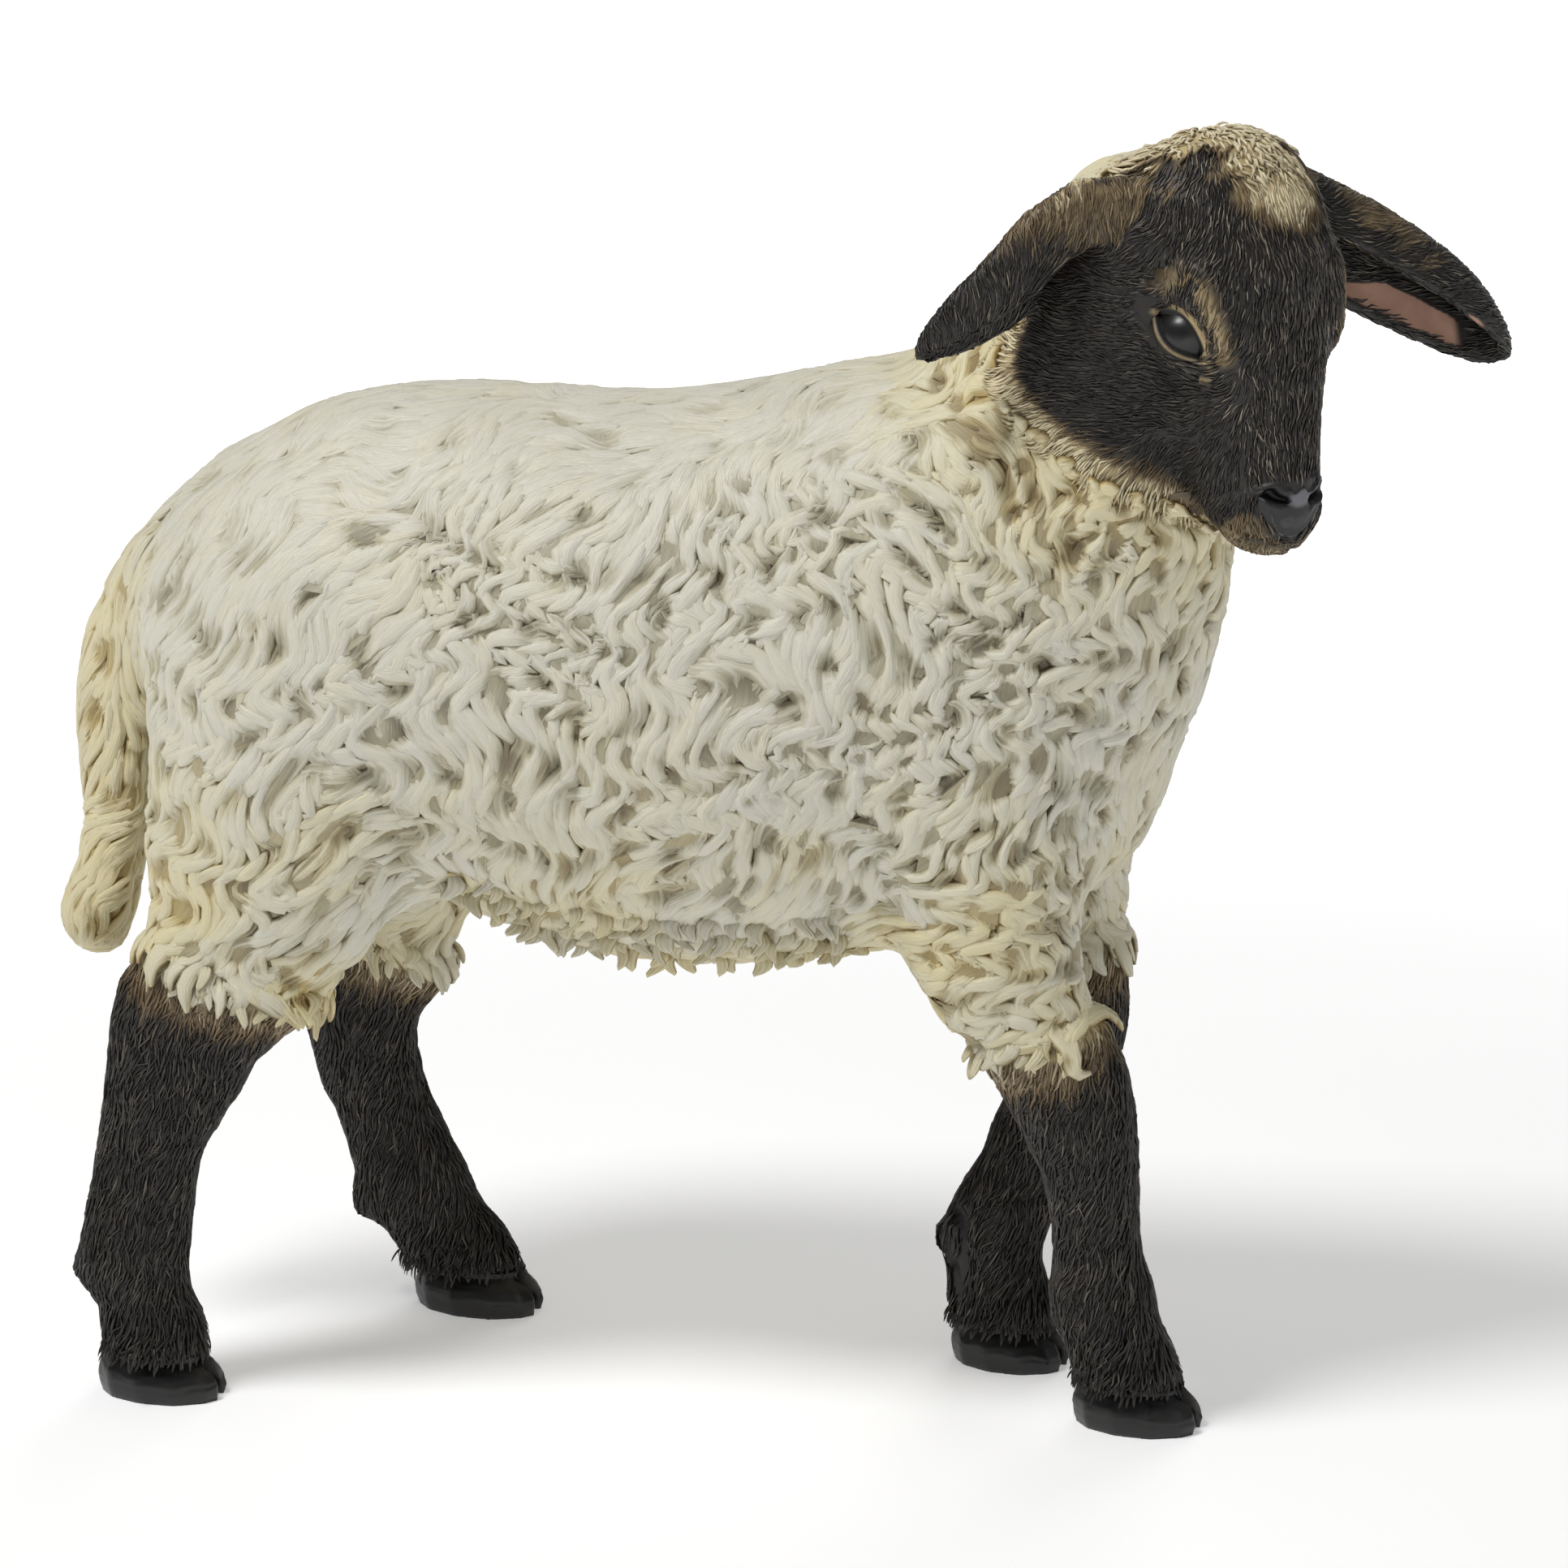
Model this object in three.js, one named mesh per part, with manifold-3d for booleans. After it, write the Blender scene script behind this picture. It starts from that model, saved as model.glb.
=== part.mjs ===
// A young black-faced lamb: a garden figure cast in resin and painted, 0.4 m tall. It stands in a
// walking stance and turns its head down to its right. Its whole outline, to the tips of the carved
// fleece, is one blended form, parted by thin cuts into the pieces that a person would name.
// Millimetres, +Z up. The body faces +X and its left side is +Y. The origin is on the floor, under
// the middle of the figure's box.

import * as THREE from "three";
import { mergeVertices } from "three/addons/utils/BufferGeometryUtils.js";
import Module from "manifold-3d";

const wasm = await Module();
wasm.setup();

// ---------------------------------------------------------------- driving dimensions

const SEAM = 0.3; // gap between neighbouring pieces
const CORONET = 15; // height where hair ends and horn begins
const CLEFT = 2.4; // gap between the two claws of a foot

// A claw at each height: its size against the foot's, and how far back it leans.
const CLAW = [
  { z: 0, scale: 0.95, lean: 0 },
  { z: 3, scale: 1, lean: 0 },
  { z: 9, scale: 0.97, lean: -1.2 },
  { z: CORONET - SEAM, scale: 0.86, lean: -3 },
];
const CLAW_SIDES = 11;
const TOE_POINT = 0.35; // how much narrower a claw is at the toe
const TOE_SPREAD = 1.6; // how far the two toes part
const CLEFT_BULGE = 0.3; // how far a claw's inner face rounds into the cleft

const EYE_RADIUS = 11.5;
const LID = 1.8; // how far the lids stand out from the eyeball
const EYE_OPENING = { length: 20, height: 15, outward: [0, 0.87, 0.48], corner: [0.77, 0, 0.64] };
const EYE_AT = [3.8, 20.4, -9.6]; // in the head's own frame, mirrored for the right eye

const HEAD_AT = [163.8, -33, 358]; // midway between the eyes
const HEAD_YAW = -43.6; // degrees, turned to the right
const HEAD_PITCH = 63.9; // degrees, the face tipped down
const HEAD_ROLL = -2.8;

const EAR_WALL = 3;
const EAR_HEIGHT = 20; // from the middle line up to the fold, at the widest
const EAR_DEPTH = 9; // half the space between the two walls
const EAR_FRONT = 88; // degrees round from the fold to the front rim
const EAR_BACK = 138; // and to the back rim
const EAR_SAG = 3;
const EARS = {
  left: {
    spine: [[-30, 17, -1], [-11, 45, 1], [8.5, 75, -0.5], [27, 98, -4.5]],
    fold: [-0.78, 0.58, 0.24],
  },
  right: {
    spine: [[-27, -16, -4], [-34, -42, -19], [-21, -63, -36], [-10, -86, -56]],
    fold: [-0.79, -0.17, 0.59],
  },
};

const FAR = 45; // beyond this, forms do not flow into each other

// How finely each piece is sampled, as the side of one cell, and how far a facet may then stray.
const CELL = { trunk: 16.5, neck: 12, head: 6.5, tail: 10, upper: 13, shank: 8.5 };
const STRAY = 0.45;
const WELD = 0.01; // the same, where a finer edge must stay as it is

// How far two forms flow into each other where they meet.
const FLOW = { neck: 34, haunch: 24, shoulder: 14, tail: 7, head: 7, face: 15, hem: 3.5 };

// Sections of each form, from one end to the other: x, y, z, half width across the body, and half
// depth in the other directions.
const TRUNK = [
  [-121, 0, 238, 52, 59.5],
  [-100, 0, 240, 60, 77],
  [-70, 0, 240, 65, 79],
  [-40, 0, 230, 67, 88],
  [-10, 0, 228, 67, 91],
  [22, 0, 232.5, 64, 91.5],
  [50, 0, 239, 59, 89.5],
  [72, 0, 238, 52, 70],
  [85, 0, 221, 45, 53],
  [92.5, 0, 206, 38, 44],
];
const NECK = [
  [79, 0, 262, 48, 60],
  [99, -4, 283, 43, 55],
  [109, -10, 314, 37, 45],
  [117, -15, 346, 32, 35],
  [126, -18, 373, 30, 28],
];
const TAIL = [
  [-152, 0, 284, 14, 14],
  [-176, 0, 261, 15, 14],
  [-191.5, -1, 233, 15, 14],
  [-195, -3, 206, 15, 13.5],
  [-193, -4, 181, 15, 13],
  [-194, -5, 160, 16, 15],
  [-201, -6, 143.5, 15, 14.5],
];

// The head, in its own frame: x towards the nose, y left, z out of the forehead.
const SKULL = [
  [-25, 0, -7, 31, 25],
  [-8, 0, -8, 30, 26],
  [10, 0, -11, 25, 24],
  [30, 0, -13, 18, 19],
  [47, 0, -16, 14.5, 16],
  [55, 0, -17, 13.5, 14],
];
const CHEEK = [
  [-6, 12, -36, 16, 21],
  [12, 10, -36, 14, 19],
  [34, 6, -30, 12, 14],
  [55, 0, -24, 10.5, 11],
];
const CROWN = [
  [-33, 0, -4, 28, 20.5],
  [-16, 0, 5, 21, 13.5],
];
const BROW = [
  [-8, 23, 5, 8, 7],
  [8, 20, 4, 6, 5],
];

// The legs: woolly upper leg down to the hem of the fleece, then the short-haired shank.
const LEGS = {
  hindleg_right: {
    upper: [
      [-132, -30, 240, 30, 44],
      [-130, -36, 212, 29, 45],
      [-133, -41, 186, 26, 44],
      [-140, -44, 160, 21, 36],
      [-149, -45, 141, 18, 28],
    ],
    shank: [
      [-146, -45, 146, 15, 22],
      [-161, -45, 126, 15, 25.4],
      [-167, -45, 110, 14, 22.4],
      [-172, -46, 94, 12.5, 18.6],
      [-176, -46, 78, 12, 16.8],
      [-180, -46, 60, 12, 17.4],
      [-181, -46, 46, 13, 16.6],
      [-179, -46, 34, 13, 14.5],
      [-176, -46, 22, 13.5, 16],
      [-174, -46, 8, 15, 17],
    ],
    hem: { at: [-142, -45, 137], normal: [0.3, 0, 0.95] },
    spur: { from: [-182, -46, 50], to: [-202, -46, 36] },
    foot: { at: [-174, -44], turn: -8, length: 41, width: 28 },
  },
  hindleg_left: {
    upper: [
      [-116, 30, 225, 30, 42],
      [-113, 35, 190, 27, 38],
      [-112, 38, 160, 24, 30],
      [-114, 40, 138, 20, 23],
      [-117, 41, 122, 17, 20],
    ],
    shank: [
      [-112, 40, 134, 14, 18],
      [-122, 42, 116, 14, 19],
      [-128, 42, 102, 14, 18.5],
      [-127, 43, 85, 13, 17],
      [-122, 44, 69, 12, 16],
      [-116, 45, 53, 12.5, 16.5],
      [-110, 45, 40, 13, 17],
      [-104, 46, 28, 13, 15.5],
      [-97, 47, 18, 13.5, 16.5],
      [-93, 47, 8, 15, 17],
    ],
    hem: { at: [-114, 41, 124], normal: [0.35, 0, 0.94] },
    spur: { from: [-116, 45, 44], to: [-132, 45, 32] },
    foot: { at: [-92, 49], turn: -12, length: 43, width: 28 },
  },
  foreleg_right: {
    upper: [
      [76, -30, 222, 26, 40],
      [82, -34, 196, 25, 33],
      [86, -35, 174, 22, 28],
      [87, -34, 154, 20, 27.5],
      [98, -33, 134, 18, 20.5],
    ],
    shank: [
      [94, -32, 140, 15, 18],
      [105, -31, 122, 16, 20],
      [112, -30, 105, 15.5, 18.6],
      [116, -28, 87, 13.5, 15.6],
      [118, -26, 71, 12.5, 14],
      [119, -25, 56, 12.5, 14],
      [121, -24, 43, 13, 15.5],
      [124, -24, 31, 13, 15.5],
      [128, -23, 19, 13.5, 15.5],
      [131, -23, 8, 14.5, 16.5],
    ],
    hem: { at: [100, -32, 127], normal: [-0.35, 0, 0.94] },
    spur: { from: [117, -25, 46], to: [104, -26, 37] },
    foot: { at: [131.5, -21], turn: -12, length: 41, width: 28 },
  },
  foreleg_left: {
    upper: [
      [84, 26, 212, 25, 38],
      [92, 30, 186, 22, 30],
      [99, 30, 164, 19, 24],
      [104, 30, 146, 16, 18],
    ],
    shank: [
      [103, 30, 152, 12, 13.5],
      [106, 29, 134, 13, 14],
      [106, 28, 117, 13.5, 15.5],
      [102, 27, 100, 13, 15.5],
      [95, 26, 82, 12, 14.4],
      [88, 25, 65, 12, 14.5],
      [81.5, 24, 49, 12.5, 16],
      [80, 24, 35, 12.5, 15.5],
      [82, 24, 21, 13, 16.5],
      [84, 24, 8, 14.5, 16.5],
    ],
    hem: { at: [103, 30, 141], normal: [0, 0, 1] },
    spur: { from: [83, 25, 52], to: [63, 24, 42] },
    foot: { at: [85, 27], turn: -14, length: 38, width: 27 },
  },
};

// ---------------------------------------------------------------- forms as distances

const degrees = THREE.MathUtils.degToRad;
const mix = THREE.MathUtils.lerp;

const headFrame = new THREE.Matrix4()
  .makeRotationFromEuler(
    new THREE.Euler(degrees(HEAD_ROLL), degrees(HEAD_PITCH), degrees(HEAD_YAW), "ZYX"),
  )
  .setPosition(...HEAD_AT);
const intoHead = headFrame.clone().invert();

// More sections between the given ones, on a smooth curve.
function refine(sections, steps = 4) {
  const path = new THREE.CatmullRomCurve3(sections.map((s) => new THREE.Vector3(s[0], s[1], s[2])));
  const girth = new THREE.CatmullRomCurve3(sections.map((s) => new THREE.Vector3(s[3], s[4], 0)));
  const count = (sections.length - 1) * steps;
  return Array.from({ length: count + 1 }, (_, i) => {
    const at = path.getPoint(i / count);
    const half = girth.getPoint(i / count);
    return [at.x, at.y, at.z, half.x, half.y];
  });
}

// The box about some sections, with a margin round it.
function boxAbout(sections, margin) {
  const box = new THREE.Box3();
  for (const [x, y, z, wide, deep] of sections) {
    const half = new THREE.Vector3(deep, wide, deep);
    const at = new THREE.Vector3(x, y, z);
    box.union(new THREE.Box3(at.clone().sub(half), at.clone().add(half)));
  }
  return box.expandByScalar(margin);
}

// Distance to a swelling tube whose sections are ellipses, wide along y and deep the other ways.
// Far from the tube, the distance to its box will do.
function swelling(sections) {
  const s = refine(sections);
  const { min, max } = boxAbout(s, 0);
  return (x, y, z) => {
    const away = Math.max(min.x - x, x - max.x, min.y - y, y - max.y, min.z - z, z - max.z);
    if (away > FAR) return away;
    let nearest = Infinity;
    for (let i = 1; i < s.length; i++) {
      const [ax, ay, az, aWide, aDeep] = s[i - 1];
      const [bx, by, bz, bWide, bDeep] = s[i];
      const ux = bx - ax, uy = by - ay, uz = bz - az;
      const along = ((x - ax) * ux + (y - ay) * uy + (z - az) * uz) / (ux * ux + uy * uy + uz * uz);
      const t = Math.min(1, Math.max(0, along));
      const wide = mix(aWide, bWide, t);
      const deep = mix(aDeep, bDeep, t);
      const side = y - ay - uy * t;
      const rest = Math.hypot(x - ax - ux * t, z - az - uz * t);
      const reach = Math.hypot(side / wide, rest / deep);
      const slope = Math.hypot(side / (wide * wide), rest / (deep * deep));
      const distance = slope > 0 ? (reach * (reach - 1)) / slope : -Math.min(wide, deep);
      nearest = Math.min(nearest, distance);
    }
    return nearest;
  };
}

// The union of two distances, flowing into each other over a width.
function flow(a, b, width) {
  const near = Math.max(width - Math.abs(a - b), 0) / width;
  return Math.min(a, b) - (near * near * width) / 4;
}

const eyeDistance = (x, y, z) =>
  Math.hypot(x - EYE_AT[0], y - EYE_AT[1], z - EYE_AT[2]) - EYE_RADIUS - LID;

const skull = swelling(SKULL);
const cheek = swelling(CHEEK);
const crown = swelling(CROWN);
const brow = swelling(BROW);

// The head's distance, worked out in its own frame, where it is the same on both sides.
function headDistance(x, y, z) {
  const p = new THREE.Vector3(x, y, z).applyMatrix4(intoHead);
  const side = Math.abs(p.y);
  let d = flow(skull(p.x, side, p.z), cheek(p.x, side, p.z), FLOW.face);
  d = flow(d, crown(p.x, side, p.z), FLOW.face);
  d = flow(d, brow(p.x, side, p.z), FLOW.face / 2);
  return flow(d, eyeDistance(p.x, side, p.z), FLOW.face / 2);
}

// A round cone from one point to another, for the tuft behind a fetlock.
function spike(from, to, thick, thin) {
  return swelling([[...from, thick, thick], [...to, thin, thin]]);
}

const trunk = swelling(TRUNK);
const neck = swelling(NECK);
const tail = swelling(TAIL);
const legs = Object.entries(LEGS).map(([name, leg]) => ({
  name,
  ...leg,
  woolly: swelling(leg.upper),
  bare: swelling(leg.shank),
  tuft: spike(leg.spur.from, leg.spur.to, 10, 4),
  joint: name.startsWith("hind") ? FLOW.haunch : FLOW.shoulder,
}));

function legDistance(leg, x, y, z) {
  const bare = flow(leg.bare(x, y, z), leg.tuft(x, y, z), FLOW.hem * 2);
  return flow(leg.woolly(x, y, z), bare, FLOW.hem);
}

function lambDistance(x, y, z) {
  let d = flow(trunk(x, y, z), neck(x, y, z), FLOW.neck);
  d = flow(d, tail(x, y, z), FLOW.tail);
  for (const leg of legs) {
    const body = flow(d, leg.woolly(x, y, z), leg.joint);
    d = Math.min(body, legDistance(leg, x, y, z));
  }
  return flow(d, headDistance(x, y, z), FLOW.head);
}

// ---------------------------------------------------------------- solids

function solidOf(geometry) {
  const bare = geometry.clone();
  bare.deleteAttribute("normal");
  bare.deleteAttribute("uv");
  const merged = mergeVertices(bare, 1e-4);
  return new wasm.Manifold(
    new wasm.Mesh({
      numProp: 3,
      vertProperties: new Float32Array(merged.attributes.position.array),
      triVerts: new Uint32Array(merged.index.array),
    }),
  );
}

function geometryOf(solid) {
  const { numProp, vertProperties, triVerts } = solid.getMesh();
  const indexed = new THREE.BufferGeometry()
    .setAttribute("position", new THREE.BufferAttribute(new Float32Array(vertProperties), numProp))
    .setIndex(new THREE.BufferAttribute(new Uint32Array(triVerts), 1));
  const geometry = indexed.toNonIndexed();
  geometry.computeVertexNormals();
  return geometry;
}

// The closed surface where a distance is zero, inside a box: one vertex in each cell that the
// surface crosses, moved onto the surface, and one quad across each grid edge that it crosses.
function surfaceOf(distance, box, cell) {
  const low = box.min.toArray();
  const high = box.max.toArray();
  const size = low.map((l, i) => Math.ceil((high[i] - l) / cell) + 3);
  const start = low.map((l) => l - 1.5 * cell);
  const index = (i, j, k) => i + size[0] * (j + size[1] * k);
  const inBox = (p) => Math.max(...p.map((v, i) => Math.max(low[i] - v, v - high[i])));
  const field = (x, y, z) => Math.max(distance(x, y, z), inBox([x, y, z]));
  const value = new Float32Array(size[0] * size[1] * size[2]);
  for (let k = 0; k < size[2]; k++)
    for (let j = 0; j < size[1]; j++)
      for (let i = 0; i < size[0]; i++)
        value[index(i, j, k)] = field(start[0] + i * cell, start[1] + j * cell, start[2] + k * cell);

  const points = [];
  const pointOf = new Map();
  const corners = Array.from({ length: 8 }, (_, n) => [n & 1, (n >> 1) & 1, n >> 2]);
  function cellPoint(i, j, k) {
    const sum = [0, 0, 0];
    let crossings = 0;
    for (const [a, b, c] of corners)
      for (const [axis, step] of [[0, a], [1, b], [2, c]].filter(([, s]) => s === 0)) {
        const here = [i + a, j + b, k + c];
        const there = here.map((v, n) => v + (n === axis ? 1 - step : 0));
        const from = value[index(...here)];
        const to = value[index(...there)];
        if (from < 0 === to < 0) continue;
        const t = from / (from - to);
        here.forEach((v, n) => (sum[n] += v + (n === axis ? t : 0)));
        crossings++;
      }
    const p = sum.map((v, n) => start[n] + (v / crossings) * cell);
    return ontoSurface(field, p, cell);
  }
  const vertex = (i, j, k) => {
    const key = index(i, j, k);
    if (!pointOf.has(key)) pointOf.set(key, points.push(cellPoint(i, j, k)) - 1);
    return pointOf.get(key);
  };

  const triangles = [];
  const around = [
    [[0, 0, 0], [0, -1, 0], [0, -1, -1], [0, 0, -1]],
    [[0, 0, 0], [0, 0, -1], [-1, 0, -1], [-1, 0, 0]],
    [[0, 0, 0], [-1, 0, 0], [-1, -1, 0], [0, -1, 0]],
  ];
  for (let k = 1; k < size[2] - 1; k++)
    for (let j = 1; j < size[1] - 1; j++)
      for (let i = 1; i < size[0] - 1; i++)
        around.forEach((ring, axis) => {
          const from = value[index(i, j, k)] < 0;
          const to = value[index(i + (axis === 0), j + (axis === 1), k + (axis === 2))] < 0;
          if (from === to) return;
          const quad = ring.map(([a, b, c]) => vertex(i + a, j + b, k + c));
          if (!from) quad.reverse();
          triangles.push(quad[0], quad[1], quad[2], quad[0], quad[2], quad[3]);
        });
  const geometry = new THREE.BufferGeometry()
    .setAttribute("position", new THREE.Float32BufferAttribute(points.flat(), 3))
    .setIndex(triangles);
  return solidOf(geometry);
}

// Moves a point along the distance's slope until it lies on the surface, within its own cell.
function ontoSurface(field, p, cell) {
  const moved = [...p];
  const nudge = cell / 50;
  for (let step = 0; step < 4; step++) {
    const d = field(...moved);
    const slope = moved.map((_, n) => {
      const ahead = [...moved];
      ahead[n] += nudge;
      return (field(...ahead) - d) / nudge;
    });
    const length2 = slope.reduce((s, v) => s + v * v, 0);
    if (length2 < 1e-6) break;
    moved.forEach((v, n) => (moved[n] = v - (0.8 * d * slope[n]) / length2));
  }
  return moved.map((v, n) => Math.min(p[n] + cell * 0.5, Math.max(p[n] - cell * 0.5, v)));
}

// A cut keeps what lies on the side its normal points to. A claim is what several cuts keep.
const cut = (at, normal) => ({
  at: new THREE.Vector3(...at),
  normal: new THREE.Vector3(...normal).normalize(),
});
const other = ({ at, normal }) => ({ at, normal: normal.clone().negate() });
const everything = solidOf(new THREE.BoxGeometry(1000, 1000, 1000));

function claim(cuts, grow = 0) {
  return cuts.reduce(
    (solid, { at, normal }) =>
      solid.trimByPlane(normal.toArray(), at.dot(normal) + SEAM / 2 - grow),
    everything,
  );
}

// The largest body of a cut solid, without the slivers that cutting leaves.
const finish = (solid, stray = STRAY) =>
  solid
    .decompose()
    .reduce((a, b) => (b.volume() > a.volume() ? b : a))
    .simplify(stray);

// ---------------------------------------------------------------- where the pieces part

const inHead = (p) => new THREE.Vector3(...p).applyMatrix4(headFrame).toArray();
const turnedWithHead = (v) => new THREE.Vector3(...v).transformDirection(headFrame).toArray();

const NAPE = cut(inHead([-50, 0, -12]), turnedWithHead([0.73, 0, 0.68]));
const THROAT = cut(inHead([4, 0, -57]), turnedWithHead([-0.38, 0, 1]));
const WITHERS = cut([62, 0, 333], [0.733, 0, 0.68]);
const HEAD_CUTS = [NAPE, THROAT, WITHERS];
const DOCK = cut([-165, 0, 285], [-0.985, 0, 0.17]);
const RUMP_END = cut([-150, 0, 268], [0, 0, -1]);
const TAIL_CUTS = [DOCK, RUMP_END, cut([0, -21, 0], [0, 1, 0]), cut([0, 17, 0], [0, -1, 0])];
const RIGHT_SIDE = cut([0, 0, 0], [0, -1, 0]);
const LEFT_SIDE = other(RIGHT_SIDE);
const GROIN = {
  hindleg_right: cut([-88, -30, 168], [-0.45, -0.35, -0.82]),
  hindleg_left: cut([-72, 30, 160], [-0.4, 0.35, -0.82]),
  foreleg_right: cut([84, -34, 166], [0.1, -0.5, -0.87]),
  foreleg_left: cut([90, 32, 164], [0.1, 0.5, -0.87]),
};

const ELBOW = cut([46, 0, 150], [0.9, 0, 0.4]);
const STIFLE = cut([-62, 0, 130], [-1, 0, 0]);
const UPPER_MARGIN = 45; // round a leg's sections, out to all that its cuts take from the trunk

const upperCuts = (leg) => [
  GROIN[leg.name],
  leg.name.endsWith("right") ? RIGHT_SIDE : LEFT_SIDE,
  leg.name.startsWith("hind") ? STIFLE : ELBOW,
];
const hemOf = (leg) => cut(leg.hem.at, leg.hem.normal);

// ---------------------------------------------------------------- body pieces

const NECK_BOX = boxAbout(NECK, 34);
const HEAD_BOX = new THREE.Box3(
  new THREE.Vector3(-74, -52, -72),
  new THREE.Vector3(86, 52, 48),
).applyMatrix4(headFrame);

// What an ear keeps clear of.
const lambAndSeam = (x, y, z) => lambDistance(x, y, z) - SEAM;
const roomForHead = surfaceOf(lambAndSeam, HEAD_BOX, CELL.head);
const roomForNeck = surfaceOf(lambAndSeam, NECK_BOX, CELL.neck);

function makeTrunk() {
  const whole = surfaceOf(lambDistance, boxAbout(TRUNK, 34), CELL.trunk);
  const claims = [
    ...legs.map((leg) => claim(upperCuts(leg), SEAM)),
    claim([WITHERS], SEAM),
    claim(TAIL_CUTS, SEAM),
  ];
  return finish(claims.reduce((solid, taken) => solid.subtract(taken), whole));
}

const makeNeck = () =>
  finish(
    surfaceOf(lambDistance, NECK_BOX, CELL.neck)
      .intersect(claim([WITHERS]))
      .subtract(claim(HEAD_CUTS, SEAM)),
  );

const makeTail = () =>
  finish(
    surfaceOf(lambDistance, boxAbout(TAIL, 12), CELL.tail).intersect(claim(TAIL_CUTS)),
  );

function eyeball(side, radius) {
  const [x, y, z] = EYE_AT;
  const at = new THREE.Vector3(x, y * side, z).applyMatrix4(headFrame);
  return solidOf(new THREE.SphereGeometry(radius, 12, 8)).translate(...at.toArray());
}

// The almond-shaped gap between the lids.
function eyeOpening(side) {
  const mirror = new THREE.Vector3(1, side, 1);
  const outward = new THREE.Vector3(...EYE_OPENING.outward).multiply(mirror).normalize();
  const length = new THREE.Vector3(...EYE_OPENING.corner).projectOnPlane(outward).normalize();
  const height = new THREE.Vector3().crossVectors(length, outward);
  const turned = new THREE.Matrix4()
    .makeBasis(length, outward, height)
    .setPosition(new THREE.Vector3(...EYE_AT).multiply(mirror).addScaledVector(outward, EYE_RADIUS));
  const gap = new THREE.SphereGeometry(1, 12, 8)
    .scale(EYE_OPENING.length / 2, EYE_RADIUS, EYE_OPENING.height / 2)
    .applyMatrix4(turned)
    .applyMatrix4(headFrame);
  return solidOf(gap);
}

function makeHead() {
  const whole = surfaceOf(lambDistance, HEAD_BOX, CELL.head).intersect(claim(HEAD_CUTS));
  const open = finish(whole)
    .subtract(eyeball(1, EYE_RADIUS + SEAM))
    .subtract(eyeball(-1, EYE_RADIUS + SEAM))
    .subtract(eyeOpening(1))
    .subtract(eyeOpening(-1));
  return finish(open, WELD);
}

const makeUpperLeg = (leg) =>
  finish(
    surfaceOf(lambDistance, boxAbout(leg.upper, UPPER_MARGIN), CELL.upper)
      .intersect(claim([...upperCuts(leg), hemOf(leg)]))
      .subtract(claim(TAIL_CUTS, SEAM)),
  );

const makeShank = (leg) =>
  finish(
    surfaceOf(
      (x, y, z) => legDistance(leg, x, y, z),
      boxAbout(leg.shank, 14),
      CELL.shank,
    ).intersect(claim([other(hemOf(leg)), cut([0, 0, CORONET], [0, 0, 1])])),
  );

// ---------------------------------------------------------------- feet

// Half of a cloven foot: flat on the floor, straight beside the cleft, round outside, and pointed
// at the toe. It narrows from the sole to the coronet and leans back with the toe.
function makeClaw(foot, side) {
  const points = CLAW.flatMap(({ z, scale, lean }) =>
    Array.from({ length: CLAW_SIDES }, (_, i) => {
      const angle = (i / CLAW_SIDES) * 2 * Math.PI;
      const forward = Math.cos(angle);
      const out = Math.sin(angle);
      const toe = Math.max(0, forward);
      const width = ((foot.width - CLEFT) / 2) * (1 - TOE_POINT * toe ** 2) * scale;
      const x = forward * (foot.length / 2) * scale + lean;
      const y = CLEFT / 2 + toe * TOE_SPREAD + out * (out > 0 ? width : CLEFT_BULGE);
      return [x, y * side, z];
    }),
  );
  const triangles = [];
  const at = (level, i) => level * CLAW_SIDES + (i % CLAW_SIDES);
  const top = CLAW.length - 1;
  for (let level = 1; level <= top; level++)
    for (let i = 0; i < CLAW_SIDES; i++)
      triangles.push(
        at(level - 1, i), at(level - 1, i + 1), at(level, i + 1),
        at(level - 1, i), at(level, i + 1), at(level, i),
      );
  for (let i = 1; i < CLAW_SIDES - 1; i++) {
    triangles.push(at(0, 0), at(0, i + 1), at(0, i));
    triangles.push(at(top, 0), at(top, i), at(top, i + 1));
  }
  if (side < 0) triangles.reverse();
  const geometry = new THREE.BufferGeometry()
    .setAttribute("position", new THREE.Float32BufferAttribute(points.flat(), 3))
    .setIndex(triangles);
  return geometry.rotateZ(degrees(foot.turn)).translate(foot.at[0], foot.at[1], 0);
}

// ---------------------------------------------------------------- ears

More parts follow.
